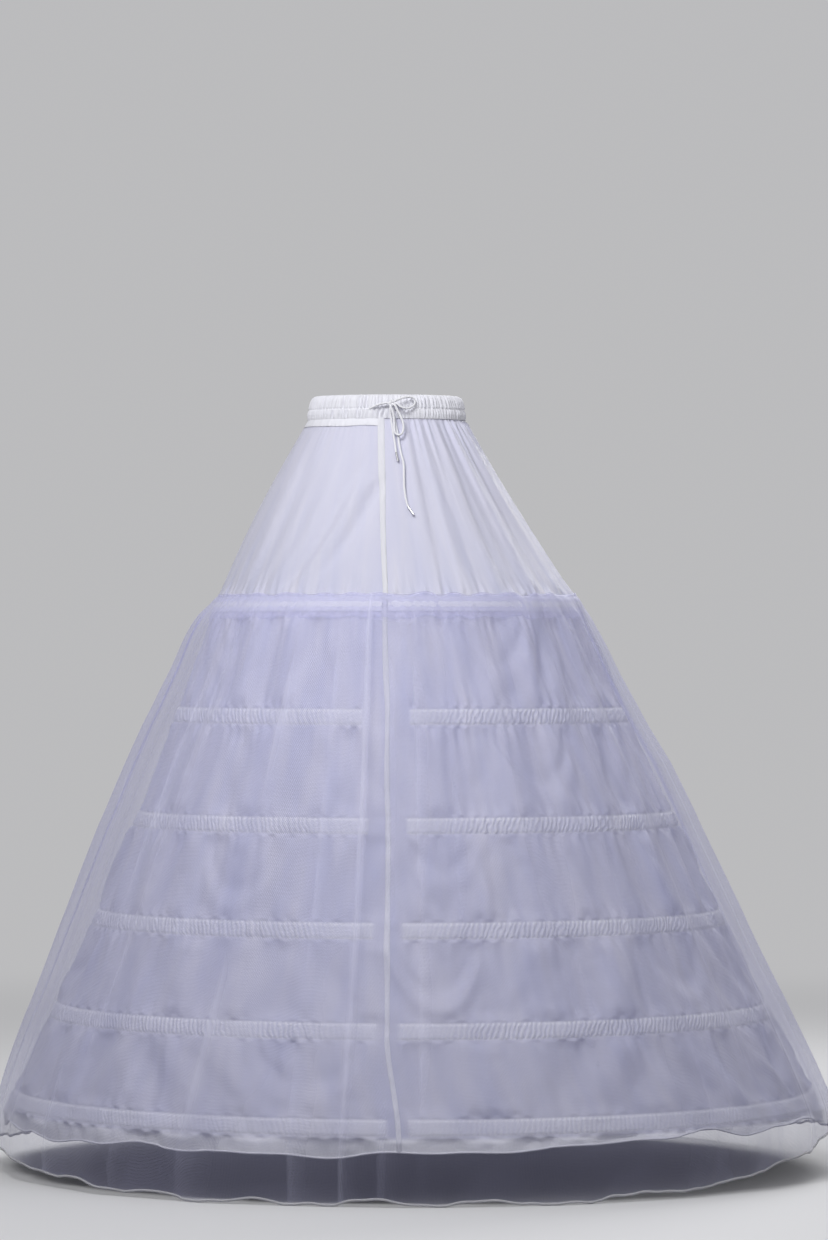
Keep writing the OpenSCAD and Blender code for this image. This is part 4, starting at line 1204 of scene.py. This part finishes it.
# a smooth strip that shows below the band: the section follows the lining, sags unevenly and thins at both
# ends
def makeFacing():
    angle = np.radians(np.linspace(*facing["turn"], facing["cols"]))[None, :]
    section = np.array(facing["section"])
    z, out = section[:, :1], section[:, 1:]
    fade = ease(np.minimum(angle - angle[0, 0], angle[0, -1] - angle) / facing["endFade"])
    sag = facing["sag"] * wavy(angle, *facing["sagWaves"], 86) * before(z, facing["sagBelow"])
    lift = out * (facing["endThin"] + (1 - facing["endThin"]) * fade)
    lift = lift + facing["crinkle"] * wavy(angle, *facing["crinkleWaves"], 87)
    points = liningSurface(angle, z + sag * fade)[0] + lift[..., None] * outwards(angle)
    uv = np.stack(np.broadcast_arrays(angle * facing["cut"], runAlong(section)[:, None]), axis=-1) / 1000
    fitPiece(gridMesh("left_facing", points, uv, material=waistCloth))


makeFacing()
print("waistband made")

# solids that keep their own shape, by the start of their names
finishes = {"hoop_tape": tapeSolid, "waist_elastic": tapeSolid, "drawstring_run": tapeSolid,
            "hoop_joiner": brightMetal, "aglet": brightMetal, "hoop_": hoopStrip}
for name, node in nodes.items():
    look = next((finish for start, finish in finishes.items() if name.startswith(start)), None)
    if look is not None:
        node.data.materials.clear()
        node.data.materials.append(look)

# floor, plain background and sky. The floor passes into the background between two distances in metres; its
# rings are two rows of radii in millimetres, from, to and how many
stage = {"floor": (0.74, 0.74, 0.75), "far": (0.50, 0.50, 0.51), "bounce": 0.12, "fade": (1.2, 5.0),
         "nearRings": (0.001, 4000, 24), "farRings": (6000, 40000, 8), "below": 0.4, "sides": 96,
         "sky": (0.96, 0.97, 1.0), "skyLight": 0.30}


# 1 for rays that look: from the camera, in a reflection or through something clear
def looking(tree):
    path = tree.nodes.new("ShaderNodeLightPath")
    looks = addMath(tree, "MAXIMUM", path.outputs["Is Camera Ray"], path.outputs["Is Glossy Ray"])
    return addMath(tree, "MAXIMUM", looks, path.outputs["Is Transmission Ray"])


# floor: a disc whose colour passes into the plain background away from the object, and that throws little
# light back up
def makeFloor():
    r = np.concatenate([np.linspace(*stage["nearRings"]), np.linspace(*stage["farRings"])])[:, None]
    ways = outwards(ringAngles(stage["sides"]))[None, ::-1]
    points = r[..., None] * ways - np.array([0, 0, stage["below"]])
    material, tree, shader = newMaterial("paleFloor", Base_Color=stage["floor"], Roughness=0.85)
    place = tree.nodes.new("ShaderNodeTexCoord")
    reach = addNode(tree, "ShaderNodeVectorMath", {0: place.outputs["Object"]}, operation="LENGTH")
    start, end = stage["fade"]
    fade = addNode(tree, "ShaderNodeMapRange", {"Value": reach.outputs["Value"], "From Min": start,
                                                "From Max": end}, interpolation_type="SMOOTHSTEP")
    glow = addNode(tree, "ShaderNodeEmission", {"Color": (*stage["far"], 1), "Strength": 1.0})
    dim = addNode(tree, "ShaderNodeBsdfDiffuse", {"Color": (*[stage["bounce"]] * 3, 1)})
    near = addNode(tree, "ShaderNodeMixShader", {0: looking(tree), 1: dim.outputs[0], 2: shader.outputs[0]})
    mix = addNode(tree, "ShaderNodeMixShader", {0: fade.outputs[0], 1: near.outputs[0], 2: glow.outputs[0]})
    tree.links.new(mix.outputs[0], tree.nodes["Material Output"].inputs[0])
    gridMesh("floor", points, joined=True, material=material)


makeFloor()
world = bpy.data.worlds.new("studio")
scene.world = world
world.use_nodes = True
tree = world.node_tree
seen = tree.nodes["Background"]
seen.inputs[0].default_value = (*stage["far"], 1)
seen.inputs[1].default_value = 1.0
soft = addNode(tree, "ShaderNodeBackground", {"Color": (*stage["sky"], 1), "Strength": stage["skyLight"]})
both = addNode(tree, "ShaderNodeMixShader", {0: looking(tree), 1: soft.outputs[0], 2: seen.outputs[0]})
tree.links.new(both.outputs[0], tree.nodes["World Output"].inputs[0])

# lamps, in metres and watts
lamps = {"key": {"place": (-0.8, -1.7, 2.75), "target": (0, -0.1, 0.9), "size": 1.2, "power": 46},
         "fill": {"place": (2.7, -2.5, 2.1), "target": (0, 0, 0.8), "size": 2.4, "power": 17},
         "back": {"place": (0.9, 2.4, 2.5), "target": (0, 0, 0.8), "size": 1.6, "power": 45}}


# round soft lamp, tipped by the angle from straight down and turned towards its target
def softLight(name, place, target, size, power):
    lamp = bpy.data.lights.new(name, "AREA")
    lamp.shape = "DISK"
    lamp.size = size
    lamp.energy = power
    light = bpy.data.objects.new(name, lamp)
    light.location = place
    way = np.array(target) - np.array(place)
    tip = math.acos(-way[2] / np.linalg.norm(way))
    light.rotation_euler = (tip, 0, math.atan2(way[1], way[0]) - math.pi / 2)
    scene.collection.objects.link(light)


for name, lamp in lamps.items():
    softLight(name, **lamp)
print("stage made")
